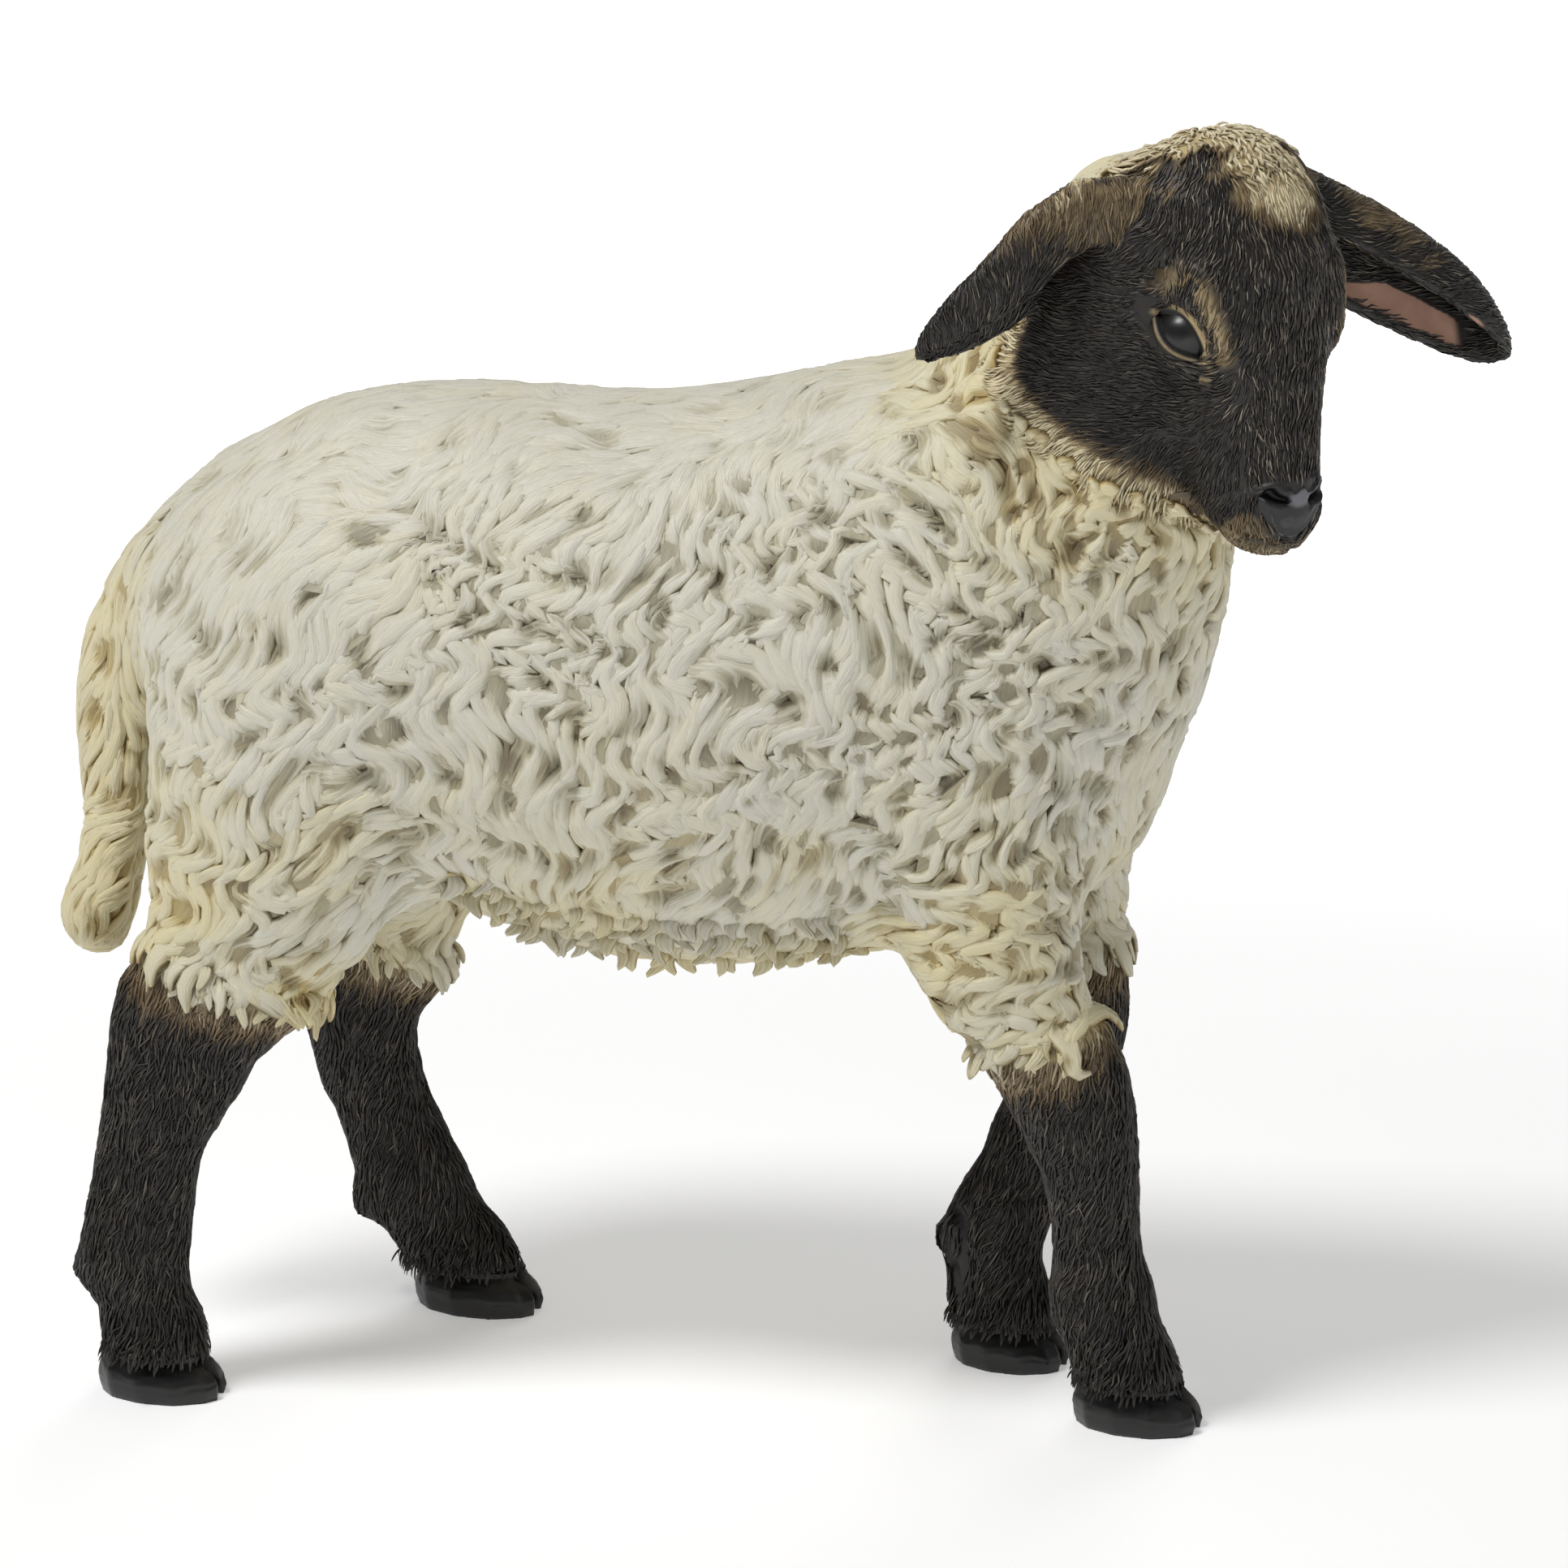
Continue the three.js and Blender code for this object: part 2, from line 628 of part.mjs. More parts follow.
// A leaf folded along its length, with its fold on top and a longer wall at the back. Its spine
// runs from the root, inside the head, out to the tip.
function makeEar(side, ear) {
  const along = 9;
  const across = 8;
  const spine = new THREE.CatmullRomCurve3(ear.spine.map((p) => new THREE.Vector3(...p)));
  const wall = (s, t, inner) => {
    const tangent = spine.getTangent(s);
    const up = new THREE.Vector3(...ear.fold).projectOnPlane(tangent).normalize();
    const back = new THREE.Vector3().crossVectors(up, tangent).multiplyScalar(side);
    const size = (1 - 0.985 * s ** 3) ** 0.55 * mix(0.9, 1, Math.min(1, 3 * s));
    const depth = EAR_DEPTH * size;
    const thickness = inner ? Math.min(EAR_WALL, depth * 0.55) : 0;
    const angle = degrees(mix(-EAR_FRONT, EAR_BACK, t));
    return spine
      .getPoint(s)
      .addScaledVector(up, (EAR_HEIGHT * size - thickness) * Math.cos(angle) - EAR_SAG * size)
      .addScaledVector(back, (depth - thickness) * Math.sin(angle));
  };
  const points = [];
  const grid = [false, true].map((inner) =>
    Array.from({ length: along + 1 }, (_, i) =>
      Array.from({ length: across + 1 }, (_, j) =>
        points.push(wall(1 - (1 - i / along) ** 1.5, j / across, inner).toArray()) - 1,
      ),
    ),
  );
  const triangles = [];
  const quad = (a, b, c, d) => triangles.push(a, b, c, a, c, d);
  const [outer, inside] = grid;
  for (let i = 0; i < along; i++)
    for (let j = 0; j < across; j++) {
      quad(outer[i][j], outer[i + 1][j], outer[i + 1][j + 1], outer[i][j + 1]);
      quad(inside[i][j], inside[i][j + 1], inside[i + 1][j + 1], inside[i + 1][j]);
    }
  for (let i = 0; i < along; i++) {
    quad(outer[i][0], inside[i][0], inside[i + 1][0], outer[i + 1][0]);
    quad(outer[i][across], outer[i + 1][across], inside[i + 1][across], inside[i][across]);
  }
  for (let j = 0; j < across; j++) {
    quad(outer[0][j], outer[0][j + 1], inside[0][j + 1], inside[0][j]);
    quad(outer[along][j], inside[along][j], inside[along][j + 1], outer[along][j + 1]);
  }
  const geometry = new THREE.BufferGeometry()
    .setAttribute("position", new THREE.Float32BufferAttribute(points.flat(), 3))
    .setIndex(triangles);
  let solid = solidOf(geometry.applyMatrix4(headFrame));
  if (solid.volume() < 0) solid = solidOf(geometry.setIndex(triangles.reverse()));
  return finish(solid.subtract(roomForHead).subtract(roomForNeck), WELD);
}

// ---------------------------------------------------------------- the lamb

const paint = (color, roughness) => new THREE.MeshStandardMaterial({ color, roughness, metalness: 0 });
const FLEECE = paint("#d6cfb4", 0.6);
const DARK_HAIR = paint("#2a2622", 0.62);
const HORN = paint("#141312", 0.28);
const EYE = paint("#0b0b0c", 0.12);

const lamb = new THREE.Group();

function add(name, shape, material) {
  const mesh = new THREE.Mesh(shape.isBufferGeometry ? shape : geometryOf(shape), material);
  mesh.name = name;
  lamb.add(mesh);
}

add("trunk", makeTrunk(), FLEECE);
add("neck", makeNeck(), FLEECE);
add("tail", makeTail(), FLEECE);
add("head", makeHead(), DARK_HAIR);
add("ear_left", makeEar(1, EARS.left), DARK_HAIR);
add("ear_right", makeEar(-1, EARS.right), DARK_HAIR);
add("eye_left", eyeball(1, EYE_RADIUS), EYE);
add("eye_right", eyeball(-1, EYE_RADIUS), EYE);
for (const leg of legs) {
  add(`${leg.name}_upper`, makeUpperLeg(leg), FLEECE);
  add(`${leg.name}_shank`, makeShank(leg), DARK_HAIR);
  add(`${leg.name}_claw_left`, makeClaw(leg.foot, 1), HORN);
  add(`${leg.name}_claw_right`, makeClaw(leg.foot, -1), HORN);
}

// The box's bottom centre becomes the origin.
const box = new THREE.Box3().setFromObject(lamb, true);
const middle = box.getCenter(new THREE.Vector3());
lamb.position.set(-middle.x, -middle.y, -box.min.z);

export default lamb;
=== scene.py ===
"""A young black-faced lamb, cast in resin and painted: its skin, carved fleece, short hair, eyes
and hooves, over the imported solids."""

import math

import bmesh
import bpy
import numpy as np
from mathutils import Euler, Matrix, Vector
from mathutils.bvhtree import BVHTree
from mathutils.kdtree import KDTree


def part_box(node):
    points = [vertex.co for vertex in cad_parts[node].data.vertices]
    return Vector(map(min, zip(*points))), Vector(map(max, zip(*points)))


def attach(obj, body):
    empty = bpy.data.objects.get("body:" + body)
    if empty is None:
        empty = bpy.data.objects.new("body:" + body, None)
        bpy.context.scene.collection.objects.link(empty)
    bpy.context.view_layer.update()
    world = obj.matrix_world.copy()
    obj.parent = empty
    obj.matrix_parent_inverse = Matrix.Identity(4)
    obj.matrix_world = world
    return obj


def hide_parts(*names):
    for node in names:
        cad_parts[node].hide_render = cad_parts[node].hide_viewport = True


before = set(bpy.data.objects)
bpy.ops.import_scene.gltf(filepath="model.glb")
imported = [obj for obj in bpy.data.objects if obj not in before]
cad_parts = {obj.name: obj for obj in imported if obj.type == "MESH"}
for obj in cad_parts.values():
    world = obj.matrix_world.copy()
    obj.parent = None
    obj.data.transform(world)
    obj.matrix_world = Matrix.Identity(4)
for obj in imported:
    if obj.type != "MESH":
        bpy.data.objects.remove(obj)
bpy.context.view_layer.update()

MM = 0.001
LEFT, RIGHT = 1, -1

# ------------------------------------------------------------------ sizes

SKIN_CELL = 1.25 * MM
HOOF_CELL = 0.75 * MM
SEAM_FILL = 0.25 * MM  # closes the thin cuts between the solids
COAT_DEPTH = 5.0 * MM  # from the tips of the fleece down to the skin
BAND = 3.9 * MM  # the level of the fleece between its scoops, above the skin
UNDER = 0.3 * MM  # how far the under-wool lies below the locks
HAIR_DEPTH = 0.5 * MM

FLEECE = {
    # part, in mm: lock spacing, length, half width; scoop spacing, radius, depth; how much the
    # wool swirls round a scoop; how deep it is carved between its bands
    "back": (6.6, 26, 4.3, 16, 4.2, 1.1, 0.75, 0.9),
    "flank": (5.4, 24, 3.4, 15, 3.5, 3.0, 0.75, 3.1),
    "rump": (5.7, 26, 3.6, 17, 3.6, 2.7, 0.75, 2.8),
    "chest": (4.8, 19, 3.1, 12, 3.4, 3.2, 0.9, 3.0),
    "neck": (4.5, 17, 3.0, 10, 3.5, 3.3, 1.0, 2.8),
    "belly": (6.4, 20, 4.0, 14, 4.0, 2.2, 0.8, 1.6),
    "leg": (5.2, 20, 3.1, 14, 3.4, 2.4, 0.8, 2.3),
    "tail": (4.7, 24, 2.4, 13, 3.4, 1.8, 0.5, 0.9),
}
HANGING = {
    # piece, in mm: spacing, length, half width, thickness as a part of the width, how far it
    # stands out, curl
    "fleece_hems": (3.4, 10.5, 2.3, 0.36, 0.8, 2.2),
    "fleece_belly_edges": (5.2, 7.5, 2.7, 0.42, 0.3, 3.0),
    "hair_coronets": (1.35, 5.0, 0.5, 0.5, 0.6, 0.4),
}
HEAD, EAR, LEG, CROWN = range(4)  # kinds of hair
HAIR = {
    # kind, in mm: spacing, length, half width, height, wiggle
    HEAD: (1.08, 6.5, 0.42, 0.45, 0.35),
    EAR: (1.25, 7.0, 0.44, 0.4, 0.35),
    LEG: (1.5, 10.5, 0.55, 0.6, 0.8),
    CROWN: (1.6, 5.0, 0.8, 1.1, 0.9),
}
SLIVER = np.array([(-1, 0), (0, 1), (1, 0)])  # a hair's section: across, and above the skin
LOCK_STEPS, HANG_STEPS, HAIR_STEPS = 11, 8, 4  # places along each tuft
RIDGES = 3  # along each lock
STRAND_TALL = 0.24 * MM  # from a lock's grooves to its ridges
ROOT_DOWN, TIP_DOWN = 0.8 * MM, 0.75 * MM  # how far a lock's ends are bedded
EDGE_DOWN, FOOT_DOWN = 0.5 * MM, 0.6 * MM  # a lock's edges, and its underside below them
HANG_UNDER = 1.9 * MM  # roots of the hanging tufts, below the level of the fleece
HAIR_BEDDED = 0.2 * MM
HAIR_UNDER = 0.6 * MM  # hair that runs onto the fleece, below its level
FRINGE_RISE, HOOF_RISE = 0.8 * MM, 1.1 * MM  # of the tips of hair beside fleece or over a hoof
LOCK_KEEP = 0.35  # how much of its own way a lock keeps from step to step
THIN_COAT = 0.6  # of the usual cover: a second layer of locks fills what is thinner
MOST_LOCKS = 99999  # so many are drawn, so that a second layer leaves the first one's sizes alone
BAND_WIDE = 9.6 * MM  # from one band of the fleece to the next, round the body
WAVE_LONG, WAVE_TALL = 21 * MM, 3.7 * MM  # of the bands' waves
ROUND_A_SCOOP = 7  # the nearest scoops, itself among them, which settle the way it turns
SCOOPS_FELT = 4  # the nearest scoops, which shape the wool at any place
RUMP_BEHIND, CHEST_AHEAD = -92 * MM, 58 * MM
BODY_MIDDLE, BODY_LONG, BODY_BROAD = -20 * MM, 170 * MM, 55 * MM  # an oval like the body
HEAD_LOWEST = 175 * MM
GROWTH_RING = 0.42 * MM  # on the hooves
PATCH = 0.003  # across a tuft's own patch of the unwrap
LIE_SCALE = 0.01  # of the lie map, from mm
UV_APART = 500  # mm between the places of the first and the last tuft in the lie map

# The head's own axes run ahead to the nose, to its left, and up.
HEAD_TURN = Euler([math.radians(a) for a in (-2.8, 63.9, -43.6)]).to_matrix()
EYE_IN_HEAD = (3.8 * MM, 20.4 * MM, -9.6 * MM)


def middle(node):
    """The middle of a CAD solid's box."""
    low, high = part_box(node)
    return (Vector(low) + Vector(high)) / 2


between_eyes = (middle("eye_left") + middle("eye_right")) / 2
HEAD_AT = np.array(between_eyes - HEAD_TURN @ Vector((EYE_IN_HEAD[0], 0, EYE_IN_HEAD[2])))
HEAD_AXES = np.array(HEAD_TURN)


def into_head(points):
    """Points in the head's own axes."""
    return (points - HEAD_AT) @ HEAD_AXES


def out_of_head(points):
    """Points of the head's own axes, in the lamb's."""
    return np.asarray(points) @ HEAD_AXES.T + HEAD_AT


# ------------------------------------------------------------------ small sums


def unit(v):
    """v, one long."""
    return v / np.maximum(np.linalg.norm(v, axis=-1, keepdims=True), 1e-12)


def ramp(x, low, high):
    """From 0 at low to 1 at high, with soft ends."""
    t = np.clip((x - low) / (high - low), 0, 1)
    return t * t * (3 - 2 * t)


def across(v, normal):
    """The part of v that lies in the surface."""
    return v - normal * np.sum(v * normal, -1, keepdims=True)


def turned(v, axis, angle):
    """v, at right angles to axis, turned about it."""
    return v * np.cos(angle)[..., None] + np.cross(axis, v) * np.sin(angle)[..., None]


class Drift:
    """A smooth field that wanders between about -1 and 1 over a length."""

    def __init__(self, seed, length, waves=10):
        rng = np.random.default_rng(seed)
        way = unit(rng.normal(size=(waves, 3)))
        self.k = way * (2 * np.pi / (length * rng.uniform(0.75, 1.5, waves)))[:, None]
        self.start = rng.uniform(0, 2 * np.pi, waves)
        self.scale = math.sqrt(1.4 / waves)

    def __call__(self, p):
        return np.sin(p @ self.k.T + self.start).sum(-1) * self.scale


def gathered(at, values, count):
    """Sums of values, one or three to each place, over the corners they belong to."""
    if values.ndim == 1:
        return np.bincount(at, values, count)
    return np.stack([np.bincount(at, v, count) for v in values.T], 1)


def evened(values, edges, rounds, strength):
    """Values at a mesh's corners, moved round by round towards the mean of their neighbours."""
    a, b = edges.T
    count = len(values)
    around = np.bincount(edges.ravel(), minlength=count)
    for _ in range(rounds):
        total = gathered(a, values[b], count) + gathered(b, values[a], count)
        values = values + (strength * (total.T / around - values.T)).T
    return values


def face_ways(corners):
    """The outward way of quads given by their corners, twice as long as their area is large."""
    return np.cross(corners[:, 2] - corners[:, 0], corners[:, 3] - corners[:, 1])


def corner_normals(verts, quads):
    """The outward way at each corner of a mesh of quads."""
    ways = face_ways(verts[quads])
    return unit(sum(gathered(quads[:, k], ways, len(verts)) for k in range(4)))


def ring_faces(number):
    """Quads between each ring of numbered corners and the next one of its strip."""
    after = np.roll(number, -1, -1)
    rows = number[..., :-1, :], number[..., 1:, :], after[..., 1:, :], after[..., :-1, :]
    return np.stack(rows, -1).reshape(-1, 4)


def rings(places, normals, sides, x, z):
    """Closed strips from rings of corners, at x and z across and above each step of some paths."""
    verts = places[:, :, None] + sides[:, :, None] * x[..., None] + normals[:, :, None] * z[..., None]
    number = np.arange(x.size).reshape(x.shape)
    return verts, [ring_faces(number), number[:, 0], number[:, -1, ::-1]]


def facing_away(verts, faces, at, *more):
    """Faces, and more like them, turned over if they look towards a place."""
    face = verts[faces[len(faces) // 2]]
    turn = np.cross(face[1] - face[0], face[2] - face[1]) @ (face.mean(0) - at) < 0
    return [f[:, ::-1] if turn else f for f in (faces, *more)]


# ------------------------------------------------------------------ meshes


def mesh_piece(name, verts, faces, attributes=None, uvs=None):
    """A mesh object from arrays: faces is a list of arrays, each with faces of one size."""
    mesh = bpy.data.meshes.new(name)
    faces = [f for f in faces if len(f)]
    mesh.vertices.add(len(verts))
    mesh.vertices.foreach_set("co", np.ascontiguousarray(verts, np.float32).ravel())
    loops = np.concatenate([f.ravel() for f in faces])
    sizes = np.concatenate([np.full(len(f), f.shape[1]) for f in faces])
    mesh.loops.add(len(loops))
    mesh.loops.foreach_set("vertex_index", loops.astype(np.int32))
    mesh.polygons.add(len(sizes))
    mesh.polygons.foreach_set("loop_start", (np.cumsum(sizes) - sizes).astype(np.int32))
    mesh.polygons.foreach_set("use_smooth", np.ones(len(sizes), bool))
    for key, value in (attributes or {}).items():
        layer = mesh.attributes.new(key, "FLOAT", "POINT")
        layer.data.foreach_set("value", np.ascontiguousarray(value, np.float32))
    for key, value in (uvs or {}).items():
        layer = mesh.uv_layers.new(name=key)
        layer.data.foreach_set("uv", np.ascontiguousarray(value[loops], np.float32).ravel())
    mesh.update(calc_edges=True)
    piece = bpy.data.objects.new(name, mesh)
    bpy.context.scene.collection.objects.link(piece)
    return piece


def merged_node(name):
    """A CAD solid's corners, their outward normals, and its triangles."""
    bm = bmesh.new()
    bm.from_mesh(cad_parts[name].data)
    bmesh.ops.remove_doubles(bm, verts=bm.verts, dist=1e-6)
    bmesh.ops.triangulate(bm, faces=bm.faces)
    bm.normal_update()
    verts = np.array([v.co[:] for v in bm.verts])
    normals = np.array([v.normal[:] for v in bm.verts])
    tris = np.array([[v.index for v in f.verts] for f in bm.faces])
    bm.free()
    return verts, normals, tris


def read(items, key, width, kind=float):
    """Some numbers of each of a mesh's items."""
    out = np.empty(len(items) * width, kind)
    items.foreach_get(key, out)
    return out.reshape(-1, width)


def worked_out(piece, look):
    """What look finds in the mesh that a piece's modifiers make. The piece itself is dropped."""
    evaluated = piece.evaluated_get(bpy.context.evaluated_depsgraph_get())
    found = look(evaluated.to_mesh())
    evaluated.to_mesh_clear()
    bpy.data.objects.remove(piece)
    return found


def remeshed(verts, tris, cell):
    """Solids made one, in small even quads. Gives the corners, the quads and their edges."""
    rough = mesh_piece("rough", verts, [tris])
    remesh = rough.modifiers.new("remesh", "REMESH")
    remesh.mode = "VOXEL"
    remesh.voxel_size = cell

    def look(mesh):
        quads = read(mesh.loops, "vertex_index", 1, np.int32).reshape(-1, 4)
        return read(mesh.vertices, "co", 3), quads, read(mesh.edges, "vertices", 2, np.int32)

    return worked_out(rough, look)


# ------------------------------------------------------------------ skin

FLESH = [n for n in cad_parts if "claw" not in n and not n.startswith("eye")]
WOOLLY = [n for n in FLESH if n in ("trunk", "neck", "tail") or n.endswith("_upper")]

clay, used = [], 0
for number, node in enumerate(FLESH):
    verts, normals, tris = merged_node(node)
    clay.append((verts, verts + normals * SEAM_FILL, tris + used, np.full(len(tris), number)))
    used += len(verts)
solid_verts, swollen_verts, solid_tris, tri_part = (np.concatenate(c) for c in zip(*clay))

skin, quads, edges = remeshed(swollen_verts, solid_tris, SKIN_CELL)

solid_tree = BVHTree.FromPolygons(solid_verts.tolist(), solid_tris.tolist())
nearest = [solid_tree.find_nearest(p)[2] for p in skin.tolist()]
part = tri_part[nearest]
names = np.array(FLESH)[part]
is_wool = np.isin(names, WOOLLY)
is_ear = np.char.startswith(names, "ear")
neighbours = np.bincount(edges.ravel(), minlength=len(skin))


def spread(values, rounds, strength=0.8):
    """Evens values out over the skin."""
    return evened(values, edges, rounds, strength)


soft = 0.8 * is_wool
skin = spread(skin, 40, spread(soft, 6))
skin = spread(skin, 6, np.where(is_ear, 0.3, 0.6))
wool = spread(is_wool.astype(float), 8)
skin_normal = corner_normals(skin, quads)
skin -= skin_normal * (wool * COAT_DEPTH + (1 - wool) * HAIR_DEPTH)[:, None]
skin = spread(skin, 10, spread(soft, 6))
skin_normal = corner_normals(skin, quads)


def quad_mean(values):
    """Values at the skin's corners, as the mean of each face's four."""
    return values[quads].mean(1)


def at_corners(quad_values, rounds):
    """Values of the skin's faces, shared out over their corners and evened out."""
    return spread(np.bincount(quads.ravel(), np.repeat(quad_values, 4), len(skin)) / neighbours, rounds)


quad_normal = unit(skin_normal[quads].sum(1))
quad_middle = quad_mean(skin)
quad_area = np.linalg.norm(face_ways(skin[quads]), axis=1) / 2
quad_wool = quad_mean(wool)
quad_part = part[quads[:, 0]]
skin_tree = BVHTree.FromPolygons(skin.tolist(), quads.tolist())
base_quads = quads


def onto_skin(points):
    """The nearest places on the skin, and the faces they lie on."""
    flat = points.reshape(-1, 3).tolist()
    found = [skin_tree.find_nearest(p) for p in flat]
    places = np.array([f[0] for f in found]).reshape(points.shape)
    faces = np.array([f[2] for f in found]).reshape(points.shape[:-1])
    return places, faces


def scattered(weight, spacing, seed, tries=7):
    """Faces' middles spread over the skin where weight is over a half, no two closer than the
    spacing at either."""
    rng = np.random.default_rng(seed)
    pick = np.flatnonzero(weight > 0.5)
    if not len(pick):
        return pick
    count = int(min(len(pick), tries * (quad_area[pick] / spacing[pick] ** 2).sum()))
    chance = quad_area[pick] / quad_area[pick].sum()
    pick = rng.choice(pick, count, replace=False, p=chance)
    cell = float(spacing[pick].max())
    grid, kept = {}, []
    for i, p, r in zip(pick.tolist(), quad_middle[pick].tolist(), spacing[pick].tolist()):
        a, b, c = (int(math.floor(v / cell)) for v in p)
        near = (
            q
            for x in (a - 1, a, a + 1)
            for y in (b - 1, b, b + 1)
            for z in (c - 1, c, c + 1)
            for q in grid.get((x, y, z), ())
        )
        if all((p[0] - q[0]) ** 2 + (p[1] - q[1]) ** 2 + (p[2] - q[2]) ** 2 > r * r for q in near):
            grid.setdefault((a, b, c), []).append(p)
            kept.append(i)
    return np.array(kept)


# ------------------------------------------------------------------ an unwrap of the skin

CHARTS = {
    # part: axis, and the chart's low corner and size in the unwrap
    "trunk": ((1, 0, 0), (0.01, 0.01), (0.58, 0.48)),
    "neck": ((0, 0, 1), (0.61, 0.01), (0.38, 0.26)),
    "head": ((0.32, -0.3, -0.9), (0.61, 0.29), (0.38, 0.22)),
    "tail": ((0, 0, 1), (0.01, 0.51), (0.14, 0.22)),
    "ear_left": ((0.5, 0.6, -0.6), (0.16, 0.51), (0.14, 0.2)),
    "ear_right": ((0.4, -0.6, -0.7), (0.31, 0.51), (0.14, 0.2)),
    "hindleg_right_upper": ((0, 0, 1), (0.46, 0.53), (0.17, 0.2)),
    "hindleg_left_upper": ((0, 0, 1), (0.64, 0.53), (0.17, 0.2)),
    "foreleg_right_upper": ((0, 0, 1), (0.82, 0.53), (0.17, 0.2)),
    "foreleg_left_upper": ((0, 0, 1), (0.82, 0.75), (0.17, 0.2)),
    "hindleg_right_shank": ((0, 0, 1), (0.01, 0.75), (0.19, 0.22)),
    "hindleg_left_shank": ((0, 0, 1), (0.21, 0.75), (0.19, 0.22)),
    "foreleg_right_shank": ((0, 0, 1), (0.41, 0.75), (0.19, 0.22)),
    "foreleg_left_shank": ((0, 0, 1), (0.61, 0.75), (0.19, 0.22)),
}


def unwrapped(faces):
    """Where some of the skin's faces lie in the unwrap: round each part's axis, and along it."""
    out = np.zeros((len(faces), 2))
    for name, (axis, corner, size) in CHARTS.items():
        here = np.flatnonzero(quad_part[faces] == FLESH.index(name))
        if not len(here):
            continue
        own = quad_middle[quad_part == FLESH.index(name)]
        axis = unit(np.array(axis, float))
        one = unit(np.cross(axis, (0.3, 0.9, 0.2)))
        two = np.cross(axis, one)
        centre = own.mean(0)
        v = quad_middle[faces[here]] - centre
        along = v @ axis
        reach = (own - centre) @ axis
        angle = np.arctan2(v @ two, v @ one) / (2 * np.pi) + 0.5
        out[here, 0] = corner[0] + angle * size[0]
        out[here, 1] = corner[1] + np.clip((along - reach.min()) / np.ptp(reach), 0, 1) * size[1]
    return out


# ------------------------------------------------------------------ locks and tufts


def traced(roots, lie, length, steps, keep=0.5):
    """Paths over the skin from some faces, following the lie. Gives places, normals, ways and faces."""
    at, face = quad_middle[roots], roots
    normal = quad_normal[face]
    way = unit(across(lie(at, normal, face), normal))
    path = [(at, normal, way, face)]
    for _ in range(steps - 1):
        at, face = onto_skin(at + way * (length / (steps - 1))[:, None])
        normal = quad_normal[face]
        way = unit(across(keep * way + (1 - keep) * unit(across(lie(at, normal, face), normal)), normal))
        path.append((at, normal, way, face))
    return tuple(np.stack(v, 1) for v in zip(*path))


def traced_both_ways(middles, lie, length, steps, keep):
    """Paths of an odd number of steps that have the given faces in their middle."""
    half = steps // 2 + 1
    ahead = traced(middles, lie, length / 2, half, keep)
    behind = traced(middles, lambda *where: -lie(*where), length / 2, half, keep)
    return tuple(np.concatenate([b[:, :0:-1], a], 1) for a, b in zip(ahead, behind))


def one_size_each(faces):
    """Arrays of faces, joined where their faces have one size."""
    by_size = {}
    for f in faces:
        by_size.setdefault(f.shape[1], []).append(f)
    return [np.concatenate(f) for f in by_size.values()]


def strips_piece(name, verts, faces, values, uvs):
    """One piece of closed strips, whose values and UVs may be given per strip or per step."""
    shape = verts.shape[:-1]
    return mesh_piece(
        name,
        verts.reshape(-1, 3),
        one_size_each(faces),
        {key: np.broadcast_to(value, shape).ravel() for key, value in values.items()},
        {key: np.broadcast_to(value, (*shape, 2)).reshape(-1, 2) for key, value in uvs.items()},
    )


def tuft_uvs(faces, u, across_mm, along, length, tone):
    """A small patch of the unwrap for each tuft, where it is rooted, and its lie map, which runs
    across and along it."""
    u, across_mm, along = np.broadcast_arrays(u, across_mm, along)
    patch = np.stack([u, along * 2 - 1], -1) * PATCH / 2
    apart = tone[:, None, None] * UV_APART
    lie = np.stack([across_mm + apart, along * (length / MM)[:, None, None]], -1)
    return {"OFBake": unwrapped(faces)[:, None, None] + patch, "lie": lie * LIE_SCALE}


# ------------------------------------------------------------------ the head's forms

EYE_BALL = 11.4 * MM
EYE_ROUND = 13  # mm: the ball on which places round an eye are measured
EYE_OUTWARD, EYE_CORNER = np.array([0, 0.87, 0.48]), np.array([0.77, 0, 0.64])
LID_HALF, UPPER_LID, LOWER_LID = 11.6, 6.2, 3.2  # of the opening between the lids, in mm
LID_RINGS = (
    # mm out from the lids' edge and above the eyeball, how far it is held to the eyeball, and how
    # tan the lower lid and the upper lid are, and how dark both
    (-1.0, -0.5, 1, 0, 0, 1),
    (-0.35, 0.1, 1, 0, 0, 1),
    (0.0, 0.6, 1, 0, 0, 0.9),
    (0.3, 1.2, 1, 0.15, 0.25, 0.45),
    (0.7, 1.65, 1, 0.42, 0.62, 0),
    (1.2, 1.8, 1, 0.5, 0.72, 0),
    (1.8, 1.6, 1, 0.28, 0.55, 0),
    (2.4, 1.45, 1, 0.2, 0.48, 0.15),
    (3.2, 1.9, 0.8, 0.15, 0.6, 0),
    (4.2, 2.2, 0.5, 0.1, 0.5, 0),
    (5.6, 1.8, 0.2, 0.05, 0.3, 0),
    (7.0, 0.8, 0.0, 0.0, 0.2, 0),
    (8.5, -1.2, 0.0, 0.0, 0.0, 0),
)
MUZZLE_AT = np.array([50, 0, -20]) * MM

# Lines round the nose and mouth, in mm: sideways from the middle of the face, and up round the tip
# of the muzzle from level with its middle.
ROUND_TIP = 18
NOSTRIL = [(11.2, 22.6), (9.4, 21.0), (7.2, 20.0), (4.6, 19.6)]
WING = [(11.6, 23.6), (11.5, 21), (10.8, 18.8), (9.0, 15.2), (6.5, 11.7), (3.4, 9.0), (0, 7.9)]
WING_GROOVE = [(13.6, 22.5), (13.7, 18), (12.4, 13.5), (9.0, 10.2), (5.0, 8.0)]
PHILTRUM = [(0, 8), (0, 3)]
MOUTH = [(0, 2.6), (3.5, 4.2), (7, 3.4), (10.2, -0.6), (12.6, -6), (14, -14), (15, -24)]


